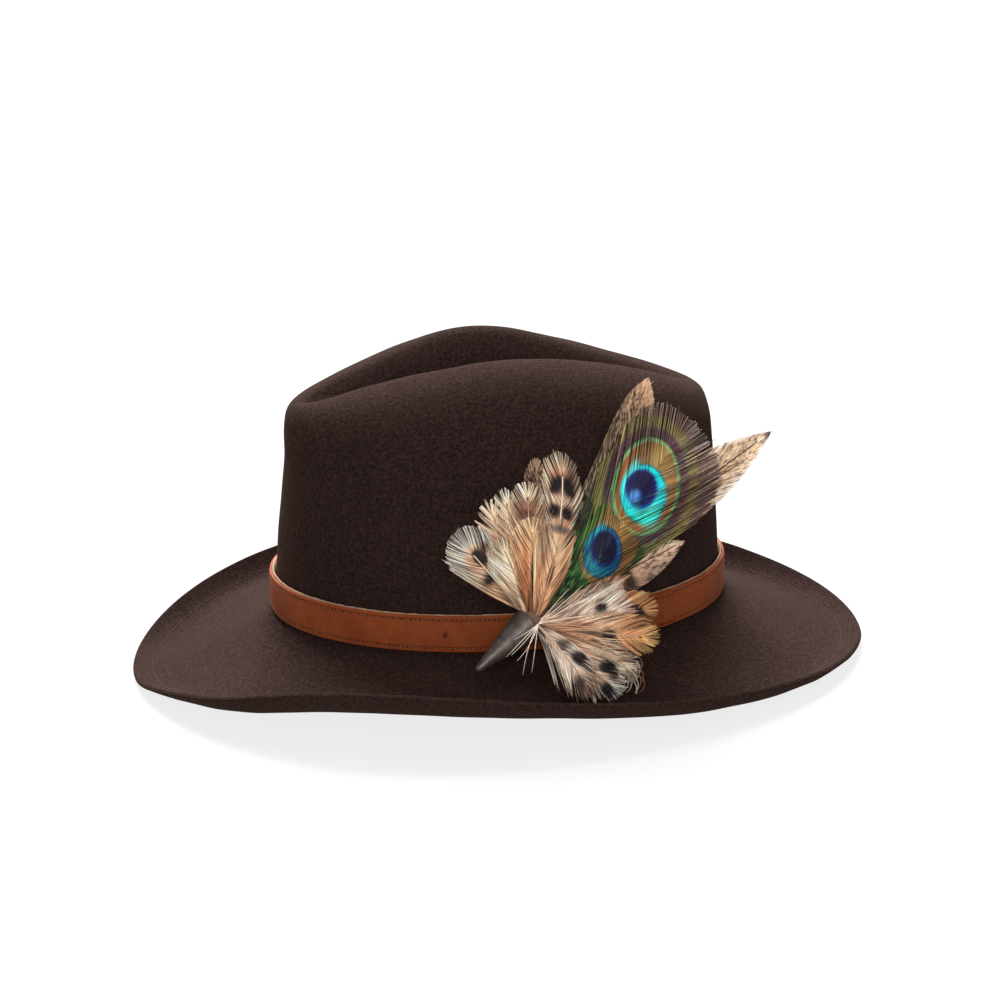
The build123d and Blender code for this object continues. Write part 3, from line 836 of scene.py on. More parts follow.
def make_cone():
    length = 32.5
    outer = [(0.0, 7.55), (0.15, 7.85), (0.6, 8.0)]
    for along in np.linspace(1.2, 31.2, 46):
        straight = 8.0 - 6.7 * along / length
        outer.append((along, straight + 0.28 * math.sin(math.pi * along / length)))
    outer += [(31.9, 1.25), (32.25, 0.95), (32.45, 0.55), (length, 0.02)]
    inner = [(20.0, 0.02), (19.8, 2.2), (18.0, 2.9), (10.0, 4.8), (3.0, 6.4), (0.5, 7.0), (0.1, 7.2)]
    revolve(outer + inner, 72, GATHER, CONE_AXIS, OUT, "cone", gunmetal, ["pin_cone"], 0.10)
    turns = [(10.0 - 0.8 * k, min(6.3, 3.7 + 0.26 * k) + 0.22 * (k % 2)) for k in range(16)]
    binding = [(10.2, 0.02)] + turns + [(-2.9, 5.0), (-3.2, 0.02)]
    revolve(binding, 40, GATHER, CONE_AXIS, OUT, "binding", brown_thread, ["pin_binding"])


def make_pad():
    centre = GATHER + ALONG * 4.0 + UP * 30.0 - OUT * 9.9
    profile = [(0.0, 0.02), (0.0, 8.3), (0.08, 8.8), (0.3, 9.0), (0.65, 9.0), (0.88, 8.8), (1.0, 8.4),
               (0.95, 7.7), (0.88, 7.4), (0.95, 7.1), (1.0, 6.0), (1.0, 0.02)]
    revolve(profile, 64, centre, OUT, ALONG, "backing_pad", pad_leather,
            ["pin_backing_pad"])


make_cone()
make_pad()

# ------------------------ feathers
SILK = feather_material("silky_feather", 0.6, 0.06, 0.22)
WING = feather_material("wing_feather", 0.65, 0.04, 0.18)
PEACOCK = feather_material("peacock_feather", 0.45, 0.0, 0.25, (0.8, 1.0, 0.9))
KINDS = {"brown": WING, "tan": WING, "peacock": PEACOCK, "spotted": SILK, "cream": SILK}

# Display colours, 0 to 255.
PALE = (238, 214, 196)
PEACH = (214, 160, 122)
RUST = (128, 72, 48)
BROWN = (96, 60, 44)
DARK = (30, 20, 18)
INK = (18, 18, 22)


def half_width(feather, side, s):
    """Width of the vane on one side of the shaft, at distance s from the gather point."""
    length, start = feather.length, feather.start
    x = np.linspace(0, 1, 160)
    form = feather.form
    if form == "round":
        grow = 0.10 + 0.90 * np.sin(np.clip(x / 0.62, 0, 1) * math.pi / 2) ** 0.85
        cap = np.sqrt(np.clip(1 - np.clip((x - 0.70) / 0.30, 0, 1) ** 2.2, 0, 1))
    elif form == "eye":
        grow = 0.30 + 0.70 * smooth_step(0.0, 0.62, x)
        cap = np.sqrt(np.clip(1 - np.clip((x - 0.62) / 0.38, 0, 1) ** 4.5, 0, 1))
    else:
        grow = np.sin(np.clip(x / 0.45, 0, 1) * math.pi / 2) ** 0.7
        cap = 1 - np.clip((x - 0.55) / 0.45, 0, 1) ** feather.blunt
    width = (feather.left if side > 0 else feather.right) * (grow * cap)
    return np.interp(s, start + (length - start) * x, width, left=width[0], right=-1.0)


def shaft_line(feather, s):
    """Sideways and outward place of the shaft at distance s from the gather point."""
    x = s / feather.length
    sideways = feather.bow * (x - x * x) * 4 + feather.lean * x * x
    outward = feather.arch * 4 * (x - x * x)
    outward = outward + feather.curl * smooth_step(0.55, 1.25, x) * 2
    return sideways, outward


def barb_paths(feather, side, rng):
    """Barbs on one side: places along, across and out, one random tone each, seam darkness (bundle tone and
    painted split shade) and angle.
    """
    start, length, pitch = feather.start, feather.length, feather.pitch
    shaft_end = length - feather.tip_gap
    roots = np.arange(start, shaft_end, pitch)
    fan = feather.tip_barbs
    low, high, tip = np.radians(feather.angles)
    angle = np.interp((roots - start) / (shaft_end - start), [0, 0.75, 1], [low, high, tip])
    angle = np.concatenate([angle, np.linspace(tip, 0.01, fan)])
    roots = np.concatenate([roots, np.full(fan, shaft_end)])
    count = len(roots)
    angle = angle * (1 + rng.normal(0, feather.mess, count))
    step = 0.6
    reach = np.arange(0, 140) * step
    bend = np.exp(-reach[None] / feather.forward)
    heading = angle[:, None] * (feather.sweep + (1 - feather.sweep) * bend)
    along = roots[:, None] + np.cumsum(np.cos(heading), 1) * step
    across = np.cumsum(np.sin(heading), 1) * step
    outside = (across > half_width(feather, side, along)) & (reach[None] > 0.5)
    stop = np.where(outside.any(1), outside.argmax(1), len(reach) - 1).astype(float)
    stop = stop * (1 + rng.normal(0, feather.ragged, count))
    stray = rng.random(count) < feather.stray
    stop = np.clip(stop * np.where(stray, rng.uniform(1.05, 1.3, count), 1), 1.5, len(reach) - 2)
    share = np.linspace(0, 1, feather.stations)
    place = stop[:, None] * share[None]
    whole = np.floor(place).astype(int)
    part = place - whole
    rows = np.arange(count)[:, None]
    s = along[rows, whole] * (1 - part) + along[rows, whole + 1] * part
    t = across[rows, whole] * (1 - part) + across[rows, whole + 1] * part
    # barbs hook together in bundles, with splits between the bundles; each bundle gets a random tone, and its
    # last barbs get painted shade for the split
    index = 0
    height = np.zeros(count)
    seam = np.ones(count)
    low_size, high_size = feather.bundle
    new_s, new_t = s.copy(), t.copy()
    while index < count:
        size = int(rng.integers(low_size, high_size + 1))
        group = np.arange(index, min(index + size, count))
        middle = group[len(group) // 2]
        pull = rng.uniform(*feather.pull) * share[None] ** 1.6
        swing = rng.normal(0, feather.swing) * share[None] ** 1.5 * place[group] * step * 0.1
        new_s[group] = s[group] + (s[middle][None] - s[group]) * pull + swing * 0.4
        new_t[group] = t[group] + (t[middle][None] - t[group]) * pull + swing
        height[group] = rng.normal(0, feather.layers)
        seam[group] = rng.normal(1, 0.8 * feather.grain)
        # the last gap barbs of each bundle are darkened by seam: painted shade in the split
        seam[group[-feather.gap:]] *= feather.seam
        index += size
    tone = rng.normal(0, 1, count)
    lift = (height + rng.normal(0, 0.10, count))[:, None] * share[None] ** 1.3
    loose = (stray * rng.normal(0, 1.6, count))[:, None] * share[None] ** 2
    new_t = np.maximum(new_t + loose * 0.5, 0) - feather.cross * (1 - share[None]) ** 3
    return new_s + 0.3 * loose, new_t, lift + loose * 0.5, tone, seam, angle


def paint(feather, s, t, share, tone):
    """Colours for points at (s along, t across) in mm; share runs from shaft to barb end."""
    seed = feather.seed
    stops = np.array(feather.base, float)
    places, tones = stops[:, 0] * feather.length, rgb(stops[:, 1:])
    colours = np.stack([np.interp(s, places, tones[:, k]) for k in range(3)], -1)
    blotch = noise2(s / 5.0, t / 3.0, seed) - 0.5
    colours = colours * (1 + 0.28 * blotch)[..., None]
    if feather.margin is not None:
        colour, begin, strength = feather.margin
        weight = smooth_step(begin, 1.0, share) * strength
        colours = colours + (rgb(colour) - colours) * weight[..., None]
    wobble_s = s + tone[:, None] * feather.comb
    for kind, *rest in feather.marks:
        if kind == "spot":
            cs, ct, rs, rt, slant, power, colour, soft, strength = rest
            ds, dt = wobble_s - cs, t - ct
            a = math.radians(slant)
            along, across = ds * math.cos(a) + dt * math.sin(a), dt * math.cos(a) - ds * math.sin(a)
            reach = (np.abs(along / rs) ** power + np.abs(across / rt) ** power) ** (1 / power)
            weight = (1 - smooth_step(1 - soft, 1 + soft, reach)) * strength
        elif kind == "speckle":
            size_s, size_t, level, colour, strength, begin, end = rest
            value = 0.65 * noise2(wobble_s / size_s, t / size_t, seed + 3)
            value = value + 0.35 * noise2(wobble_s / size_s * 2.1, t / size_t * 2.3, seed + 5)
            weight = smooth_step(level, level + 0.10, value) * strength
            weight = weight * smooth_step(begin - 3, begin + 3, s) * (1 - smooth_step(end - 3, end + 3, s))
        else:  # a shade deepens along the feather, a flank across it
            begin, end, colour, strength = rest
            weight = smooth_step(begin, end, s if kind == "shade" else t) * strength
        colours = colours + (rgb(colour) - colours) * weight[..., None]
    value = 1 + feather.grain * tone[:, None]
    # painted shade at the roots: darkest near the gather point, where the barbs crowd together, broken into
    # streaks
    gather = 1 - smooth_step(6, 30, s)
    streak = noise2(t * 1.7 / np.maximum(0.25, share + 0.1), s / 16, seed + 9)
    colours = colours * (1 - feather.roots * gather * smooth_step(0.48, 0.66, streak))[..., None]
    # odd barbs (tone above 1.9) are scaled by slits: below one this is painted shade for the dark gaps
    # between barbs; the peacock's slits above one brighten them instead
    dark = np.where(tone > 1.9, feather.slits, 1.0)[:, None]
    return np.clip(colours * (value * dark)[..., None], 0.002, 1) * feather.light


# Lengths are in mm, angles in degrees and colours display values:
# - outline: form, start (of the vane), tip_gap (barbs past the shaft), blunt (of a pointed tip)
# - barbs: pitch, tip_barbs, angles (at the root, higher up, at the tip), mess, forward and sweep (how soon
#   they turn along the shaft), ragged, stray, stations, thick, taper, camber, hook, cross (over the shaft)
# - bundles: bundle (least and most barbs), pull (together), swing, layers, gap and seam (painted shade on the
#   last barbs, at the split)
# - shaft: bow, lean, arch, curl, shaft, shaft_size, shaft_lift, shaft_reach
# - colour: margin, comb (how far a mark's edge frays), grain, slits (odd barbs darkened: painted shade in the
#   gaps), roots (painted shade at the roots), light
DEFAULTS = dict(
    form="round", start=7.0, pitch=0.36, tip_gap=7.0, tip_barbs=26, angles=(26, 34, 22), mess=0.05,
    forward=15.0, sweep=0.45, ragged=0.03, stray=0.03, stations=12, bundle=(3, 11), pull=(0.15, 0.75),
    swing=0.35, layers=0.35, seam=0.16, thick=1.0, bow=0.0, lean=0.0, arch=1.2, curl=0.0, camber=1.0,
    taper=0.62, margin=None, comb=0.35, grain=0.36, slits=0.22, shaft=(206, 172, 142), shaft_size=0.45,
    shaft_lift=0.15, shaft_reach=0.97, roots=0.88, cross=0.0, light=1.08, hook=(0.0, 0.0), gap=2, blunt=2.2)


def make_feather(name, kind, direction, length, layer, lift, left, right, seed, base, marks, **changes):
    """A feather from the gather point, in a direction round OUT, layer mm out and lifted by an angle."""
    measures = dict(length=length, left=left, right=right, seed=seed, base=base, marks=marks)
    feather = SimpleNamespace(**{**DEFAULTS, **measures, **changes})
    rng = np.random.default_rng(seed)
    turn, tilt = math.radians(direction), math.radians(lift)
    flat = ALONG * math.cos(turn) + UP * math.sin(turn)
    x_axis = flat * math.cos(tilt) + OUT * math.sin(tilt)
    z_axis = OUT * math.cos(tilt) - flat * math.sin(tilt)
    y_axis = np.cross(z_axis, x_axis)
    origin = GATHER + OUT * layer

    def world(s, t, n):
        sideways, outward = shaft_line(feather, s)
        drop = feather.camber * (t / max(left, right)) ** 2
        return (origin + x_axis * s[..., None] + y_axis * (t + sideways)[..., None]
                + z_axis * (n + outward - drop)[..., None])

    shape = Shape()
    for side in (1, -1):
        s, t, n, tone, seam, angle = barb_paths(feather, side, rng)
        share = np.linspace(0, 1, feather.stations)[None] * np.ones_like(s)
        hook = share**3 * (1 + 0.5 * seam[:, None] * tone[:, None])
        points = world(s + feather.hook[0] * hook, t * side + feather.hook[1] * hook, n)
        colours = paint(feather, s, t * side, share, tone)
        # each bundle's tone and the painted shade at its split, growing towards the barb ends
        colours = colours * (1 + (seam - 1)[:, None] * smooth_step(0.1, 0.6, share))[..., None]
        step = feather.pitch * np.maximum(np.sin(np.abs(angle)), 0.28)
        width = (0.62 * step * feather.thick + 0.05)[:, None] * (1 - feather.taper * share**2.2)
        up = unit(z_axis[None, None] + 0.35 * side * y_axis[None, None]
                  + rng.normal(0, 0.10, (len(s), 1, 1)) * y_axis[None, None]) * np.ones_like(points)
        shape.tubes(points, width, up, sides=3, squash=0.55, colours=colours)
    # the shaft
    s = np.linspace(-2.0, (length - feather.tip_gap * 0.9) * feather.shaft_reach, 60)
    centre = world(s, 0 * s, feather.shaft_lift * smooth_step(0.2, 0.5, s / length))
    share = np.clip(s / length, 0, 1)
    radius = feather.shaft_size * (1 - 0.86 * share**0.8) + 0.05
    tint = rgb(feather.shaft) * feather.light * (0.9 + 0.2 * share[:, None])
    shape.tube(centre, radius, z_axis, 8, 1.0, tint)
    node = f"feather_{name}"
    replaced = [node] if node in frame["nodes"] else []
    shape.make(f"{node}_vane", KINDS[kind], "brooch", replaced)


def spot(s, t, rs, rt, colour, soft=0.25, strength=1.0, slant=0.0, power=2.0):
    """An oval mark at (s, t) with radii rs and rt, turned by slant degrees."""
    return ("spot", s, t, rs, rt, slant, power, colour, soft, strength)


def pair(s, t, rs, rt, halo, slant=0.0, **more):
    """Two ink spots, one each side of the shaft, over softer halos."""
    halos = [spot(s, side * t, rs * 1.3, rt * 1.4, halo, 0.4, 0.8) for side in (1, -1)]
    return halos + [spot(s, side * t, rs, rt, INK, slant=-side * slant, **more) for side in (1, -1)]


MOTTLE = [(0, 66, 58, 44), (0.6, 82, 70, 54), (0.84, 140, 114, 90), (0.93, 200, 160, 126), (1, 222, 184, 150)]
wing = dict(
    light=1.0, pitch=0.34, tip_gap=4.5, tip_barbs=18, angles=(32, 28, 18), bundle=(14, 50), pull=(0.0, 0.06),
    swing=0.02, layers=0.05, stray=0.004, mess=0.008, ragged=0.006, form="pointed", start=22, comb=0.5,
    grain=0.16, seam=0.5, gap=1, camber=0.3, arch=0.0, stations=15)
make_feather(
    "brown_tall", "brown", 56.6, 120, -6.2, 0, 8.5, 11, 101, MOTTLE, blunt=4.2,
    bow=-4.2, lean=-1.2, shaft=(110, 84, 60), shaft_size=0.9, marks=[
        ("speckle", 1.1, 0.8, 0.50, (32, 25, 21), 1.0, 0, 114),
        ("speckle", 0.8, 0.7, 0.57, (222, 188, 152), 0.8, 50, 130),
        ("flank", -4.0, -8.0, (206, 170, 134), 0.6)], **wing)
make_feather(
    "tan_right", "tan", 29.2, 142.5, -6.3, 0, 12.5, 12.5, 102,
    [(0, 130, 100, 74), (0.65, 204, 168, 132), (1, 240, 206, 170)],
    bow=1.0, shaft=(64, 46, 36), shaft_size=0.8, marks=[
        ("speckle", 1.0, 0.9, 0.51, (108, 76, 54), 0.85, 0, 140),
        ("speckle", 0.7, 0.6, 0.57, (252, 230, 200), 0.85, 60, 150),
        spot(141.5, -1, 3, 3, (70, 48, 36), 0.6, 0.8)], **wing)
make_feather(
    "tan_low", "tan", 18.6, 81, -4.0, 0, 9.0, 9.5, 103,
    [(0, 170, 124, 96), (0.6, 206, 160, 130), (1, 232, 200, 172)], shaft=(90, 66, 48), marks=[
        ("speckle", 1.5, 1.0, 0.50, (52, 36, 28), 0.9, 57, 84),
        ("speckle", 0.9, 0.8, 0.58, (232, 206, 178), 0.7, 40, 84),
        spot(50.2, -2.0, 2.6, 8.5, DARK, 0.35, 0.95, 12),
        spot(39, -1.5, 2.2, 7.5, DARK, 0.35, 0.9, 8)], **dict(wing, start=12))
make_feather(
    "brown_curl", "brown", 82.0, 71, -5.3, 0, 5.5, 6, 104,
    [(0, 110, 80, 62), (0.86, 130, 92, 70), (1, 196, 160, 132)], shaft=(96, 66, 50), curl=1.5, marks=[
        ("speckle", 1.3, 1.0, 0.47, (36, 26, 24), 0.9, 0, 69),
        ("speckle", 0.8, 0.8, 0.62, (190, 160, 136), 0.7, 50, 80)],
    **dict(wing, start=14, form="round", bundle=(5, 14), pull=(0.2, 0.6)))

# The peacock eyes are stacks of ovals, the widest first.
TILT = 25.0
LARGE_EYE = [
    spot(79.8, -1.0, 31.0, 25.5, (128, 118, 62), 0.04, 0.75, TILT),
    spot(79.6, -1.0, 26.0, 20.8, (88, 58, 66), 0.05, 1.0, TILT),
    spot(79.6, -1.1, 22.4, 17.2, (50, 40, 38), 0.04, 0.95, TILT),
    spot(79.6, -1.1, 21.4, 16.2, (118, 170, 110), 0.03, 1.0, TILT),
    spot(79.5, -1.1, 19.9, 14.8, (150, 70, 36), 0.04, 1.0, TILT),
    spot(80.2, -1.1, 18.8, 13.2, (142, 106, 62), 0.08, 1.0, TILT),
    # a lighter bronze patch towards the tip: painted highlight on the bronze zone
    spot(90.0, 0.4, 8.5, 7.5, (158, 130, 78), 0.5, 0.7, TILT),
    spot(76.4, -1.9, 13.2, 11.7, (20, 84, 84), 0.03, 1.0, 40),
    spot(76.4, -1.9, 12.4, 11.0, (24, 206, 206), 0.03, 1.0, 40),
    spot(72.4, -6.8, 8.0, 5.2, (70, 250, 222), 0.5, 0.95, 60),
    spot(78.0, 7.9, 7.0, 2.4, (90, 252, 240), 0.5, 0.95, 10),
    spot(77.6, 0.4, 8.6, 8.3, (34, 104, 176), 0.05, 1.0, 40),
    spot(75.0, -2.4, 6.6, 5.2, (30, 66, 136), 0.3, 0.9, 20),
    spot(77.9, 0.6, 7.7, 7.4, (24, 26, 84), 0.06, 1.0, 40),
    spot(80.0, 0.6, 4.6, 4.6, (16, 10, 44), 0.5, 0.9),
    spot(73.0, 0.9, 2.4, 2.2, (88, 150, 226), 0.7, 0.9),
    ("speckle", 2.2, 0.7, 0.60, (70, 160, 78), 0.4, 16, 72)]
SMALL_EYE = [
    spot(50.5, -0.4, 22.5, 15.6, (40, 84, 36), 0.10, 0.9, 10),
    spot(50.5, -0.4, 20.6, 14.4, (50, 42, 34), 0.05, 1.0, 12),
    spot(50.5, -0.4, 19.6, 13.4, (140, 100, 58), 0.05, 1.0, 12),
    # a lighter bronze patch towards the tip: painted highlight on the bronze zone
    spot(60.0, 2.0, 8.0, 6.5, (160, 124, 72), 0.5, 0.7, 12),
    spot(44.6, 0.2, 11.6, 9.8, (12, 50, 62), 0.04, 1.0, 35),
    spot(44.5, 0.2, 10.9, 9.1, (14, 96, 140), 0.05, 1.0, 35),
    spot(38.0, -0.5, 4.0, 5.0, (24, 128, 146), 0.5, 0.6),
    spot(48.0, 7.6, 6.0, 2.2, (50, 180, 196), 0.5, 0.85),
    spot(46.3, 0.6, 8.0, 6.8, (24, 44, 120), 0.06, 1.0, 35),
    spot(46.8, 0.6, 7.0, 5.9, (16, 12, 44), 0.12, 1.0, 35),
    ("flank", 8.5, 12.5, (70, 130, 50), 0.8),
    ("flank", -12.5, -16.0, (52, 104, 48), 0.8),
    ("speckle", 2.0, 0.6, 0.58, (100, 180, 84), 0.4, 0, 42)]
peacock = dict(
    form="eye", light=1.2, start=12, pitch=0.44, tip_gap=15, tip_barbs=38, angles=(26, 33, 24), mess=0.02,
    forward=40.0, sweep=0.80, ragged=0.03, stray=0.05, stations=40, bundle=(5, 8), pull=(0.35, 0.75),
    taper=0.3, swing=0.05, layers=0.10, comb=0.10, grain=0.32, slits=1.8, seam=0.03, camber=0.1, arch=2.4,
    shaft_size=0.7, shaft_lift=-0.5, shaft_reach=0.42, cross=0.5, roots=0.2, thick=1.25)
make_feather(
    "peacock_large", "peacock", 43.5, 116, -4.4, 0, 22, 31, 105,
    [(0, 24, 34, 18), (0.35, 44, 46, 30), (0.62, 64, 48, 42), (0.86, 98, 74, 74), (1, 126, 102, 90)],
    LARGE_EYE, shaft=(70, 64, 44), bow=-3.0, **peacock)
make_feather(
    "peacock_small", "peacock", 39.9, 72, -3.5, 0, 13.5, 16, 106,
    [(0, 26, 34, 20), (0.5, 32, 48, 28), (1, 44, 78, 38)], SMALL_EYE, shaft=(70, 66, 44), bow=-3.6,
    **dict(peacock, start=4, tip_gap=9, tip_barbs=24, stations=32, pitch=0.38, angles=(20, 28, 22), arch=2.9))

silk = dict(pitch=0.34, angles=(30, 42, 30))
make_feather(
    "spotted_tall", "spotted", 69.5, 75, -3.5, 0, 10.5, 10.5, 107,
    [(0, *PALE), (0.55, 240, 208, 184), (0.78, 236, 206, 178), (1, 214, 190, 160)],
    [spot(66, 0, 4.5, 7, (214, 158, 124), 0.6, 0.7),
     *pair(60.4, 3.1, 5.0, 2.6, (126, 58, 36), power=1.7, slant=24),
     *pair(49.6, 3.1, 2.9, 2.6, (140, 80, 56)),
     spot(55.0, 0, 1.7, 9, (232, 198, 172), 0.5, 0.8),
     ("shade", 68, 77, (150, 132, 114), 0.4)],
    shaft=(240, 220, 196), shaft_size=0.7, bow=-4.2, lean=4.5, tip_gap=9,
    margin=((166, 148, 128), 0.8, 0.5), **silk)
GREY_TIP = ("shade", 48, 62, (214, 196, 170), 0.45)
split = dict(silk, bundle=(8, 20), pull=(0.45, 0.92), swing=0.9, layers=0.5, seam=0.2)
make_feather(
    "left_outer", "spotted", 104.5, 56, -2.7, 0, 8.5, 8, 108,
    [(0, *PEACH), (0.5, 220, 156, 120), (0.8, 236, 190, 160), (1, 246, 214, 184)],
    [spot(41, -2.5, 4, 3, RUST, 0.5, 0.7), GREY_TIP], **split)
make_feather(
    "left_middle", "spotted", 96.6, 59.5, -1.8, 0, 8, 8, 109,
    [(0, *PEACH), (0.6, 222, 172, 136), (1, 246, 222, 192)],
    [spot(46, -4.5, 5, 3.6, (84, 48, 38), 0.4, 0.9), GREY_TIP], **split)
make_feather(
    "left_inner", "spotted", 86.4, 61, -0.9, 0, 9.5, 9, 110,
    [(0, *PEACH), (0.6, 236, 180, 146), (1, 250, 216, 184)],
    [spot(50.5, 0.5, 3.4, 6.0, (140, 76, 48), 0.5, 0.8), spot(46.6, 1.0, 2.8, 4.4, (84, 50, 40), 0.4, 0.8),
     GREY_TIP], **silk)
make_feather(
    "black_white", "cream", 127.0, 54, 0.0, 2, 11, 11.5, 111,
    [(0, 200, 144, 108), (0.45, 214, 172, 136), (0.66, 236, 206, 178), (0.8, 246, 226, 204),
     (1, 250, 234, 214)],
    [spot(38.5, -0.6, 6.4, 5.4, (214, 160, 124), 0.4, 0.9), spot(38.4, -1.4, 4.6, 2.9, DARK, 0.2),
     spot(39.6, -5.6, 1.6, 3.4, BROWN, 0.4, 0.9, 30), spot(28.2, 0.8, 3.6, 5.2, (120, 74, 54), 0.5, 0.7),
     spot(28.2, 0.8, 2.4, 4.2, DARK, 0.3)],
    shaft=(224, 200, 172), slits=0.10, grain=0.42, margin=((100, 84, 74), 0.8, 0.3),
    **dict(silk, angles=(26, 40, 34), bundle=(2, 5), pull=(0.3, 0.7), swing=0.12, layers=0.3, ragged=0.015,
           seam=0.08, gap=1, tip_barbs=44, tip_gap=13, stray=0.02))
broad = dict(
    pitch=0.34, angles=(24, 34, 24), stations=13, forward=16, tip_barbs=22, shaft_size=0.25,
    shaft=(214, 160, 120), arch=2.8, bundle=(6, 24), pull=(0.0, 0.3), swing=0.12, layers=0.22, ragged=0.015,
    stray=0.02, camber=2.2, start=0)
make_feather(
    "centre_left", "cream", 108.5, 41, 0.9, 4, 8.5, 8, 112,
    [(0, 150, 96, 66), (0.25, 240, 192, 156), (0.75, 255, 226, 196), (1, 246, 206, 168)],
    [spot(18.0, -1.6, 6.2, 1.9, (60, 36, 28), 0.35, 0.95, -12),
     spot(27, -7, 14, 3.0, (206, 122, 78), 0.6, 0.85)], **broad)
make_feather(
    "centre", "cream", 88.5, 46.5, 1.8, 6, 9.5, 9, 113,
    [(0, 110, 64, 44), (0.35, 214, 138, 92), (0.7, 236, 176, 130), (1, 244, 206, 162)],
    [spot(21, 0.2, 10, 1.3, DARK, 0.4, 0.95), spot(31, -3.6, 12, 1.2, (140, 78, 50), 0.5, 0.85),
     spot(28, 3.5, 12, 1.1, (186, 104, 64), 0.5, 0.7)], **broad)
make_feather(
    "centre_right", "cream", 70.5, 47, 2.7, 8, 10.5, 8, 114,
    [(0, 150, 100, 66), (0.35, 232, 174, 130), (0.75, 240, 196, 156), (1, 206, 150, 110)],
    [spot(22.3, -0.2, 5.6, 1.3, DARK, 0.4, 0.95), spot(42.6, 1.0, 1.8, 6.6, (90, 78, 74), 0.45, 0.9),
     spot(24, 4.8, 10, 1.1, (190, 116, 74), 0.5, 0.7), spot(24, -5.5, 14, 1.6, (196, 140, 92), 0.5, 0.8)],
    **broad)
fan = dict(
    pitch=0.34, angles=(26, 38, 28), stations=13, tip_gap=8, arch=2.6, bundle=(4, 14), start=0,
    pull=(0.05, 0.5), swing=0.25, ragged=0.045, comb=0.8)
make_feather(
    "fan_top", "spotted", 17.0, 48.5, 0.7, 9, 5.5, 9, 115,
    [(0, 196, 156, 130), (0.5, 222, 186, 158), (1, 190, 126, 88)],
    [spot(37.2, -0.5, 2.6, 5.0, DARK, 0.3, 1.0, 10),
     spot(46.0, -2.5, 3.2, 4.2, (50, 36, 32), 0.35, 0.9, -25)],
    **fan)
make_feather(
    "fan_high", "spotted", 0.5, 55.5, 1.2, 12, 10, 10.5, 116,
    [(0, 206, 160, 128), (0.6, 222, 164, 120), (0.8, 206, 136, 90), (1, 222, 166, 112)],
    [spot(46.6, 0.6, 4.4, 2.0, DARK, 0.3, 1.0, -40), spot(46.2, -4.2, 4.0, 1.9, DARK, 0.3, 1.0, -40)], **fan)
make_feather(
    "fan_cream", "cream", 4.0, 44.0, 2.6, 17, 12.5, 14, 121,
    [(0, 236, 190, 160), (0.35, 248, 210, 186), (0.75, 250, 220, 200), (1, 242, 206, 180)],
    [spot(16, -1.0, 5.0, 1.7, (116, 72, 54), 0.5, 0.9, 25), spot(30, 2.2, 3.0, 2.1, DARK, 0.3, 1.0, 12),
     spot(30.5, 5.6, 2.4, 1.0, (120, 116, 114), 0.5, 0.7),
     spot(30.5, 0.4, 2.6, 1.0, (110, 106, 104), 0.5, 0.7)],
    **dict(fan, light=1.12, grain=0.26))
make_feather(
    "fan_middle", "spotted", 346.6, 55, 2.5, 19, 9, 9, 117,
    [(0, 232, 194, 166), (0.5, 232, 188, 154), (0.75, 216, 146, 100), (1, 226, 180, 112)],
    [spot(33.1, -2.0, 3.6, 4.4, DARK, 0.3, 1.0, 20), spot(22, 2.5, 6, 1.1, (160, 104, 74), 0.5, 0.8)], **fan)
curly = dict(
    fan, curl=-3.5, ragged=0.05, swing=0.7, stray=0.05, layers=0.5, bundle=(4, 10), pull=(0.3, 0.8))
make_feather(
    "fan_low", "spotted", 327.9, 51, 3.4, 24, 9, 9, 118,
    [(0, 206, 150, 114), (0.5, 218, 168, 132), (0.8, 226, 190, 162), (1, 240, 220, 192)],
    [spot(38.5, -4.2, 4.8, 2.8, INK, 0.25, 1.0, -30), spot(43, 4.5, 4, 3.0, (150, 124, 104), 0.5, 0.7),
     spot(28.4, 3.6, 3.0, 1.4, BROWN, 0.5, 0.8)],
    hook=(-1.2, -1.2), margin=((156, 134, 114), 0.8, 0.3), **curly)
make_feather(
    "fan_lower", "spotted", 311.0, 48.5, 4.4, 28, 10.5, 10, 119,
    [(0, 210, 154, 118), (0.4, 228, 176, 140), (0.8, 240, 206, 178), (1, 248, 232, 214)],
    [spot(36.6, 5.2, 4.6, 2.6, INK, 0.25, 1.0, 35), spot(43.0, -2.0, 4.2, 2.6, INK, 0.25, 1.0, -20),
     spot(41, 5, 3, 1.6, DARK, 0.4, 0.9, 40), spot(31.9, -0.6, 3.0, 1.8, BROWN, 0.5, 0.8)],
    hook=(-0.6, 0.8), **curly)
make_feather(
    "fan_front", "spotted", 298.0, 40, 5.6, 33, 9.5, 9, 120,
    [(0, 150, 110, 90), (0.35, *PALE), (0.6, *PALE), (1, 206, 160, 130)],
    [spot(24.6, 4.4, 4.2, 3.0, (34, 26, 24), 0.3, 1.0, 30), spot(15.7, 3.0, 2.8, 3.4, (50, 38, 34), 0.4, 0.9),
     spot(33, -2, 3.6, 2.6, INK, 0.3, 0.9, -30), ("shade", 31, 37, (84, 56, 46), 0.5)], **curly)


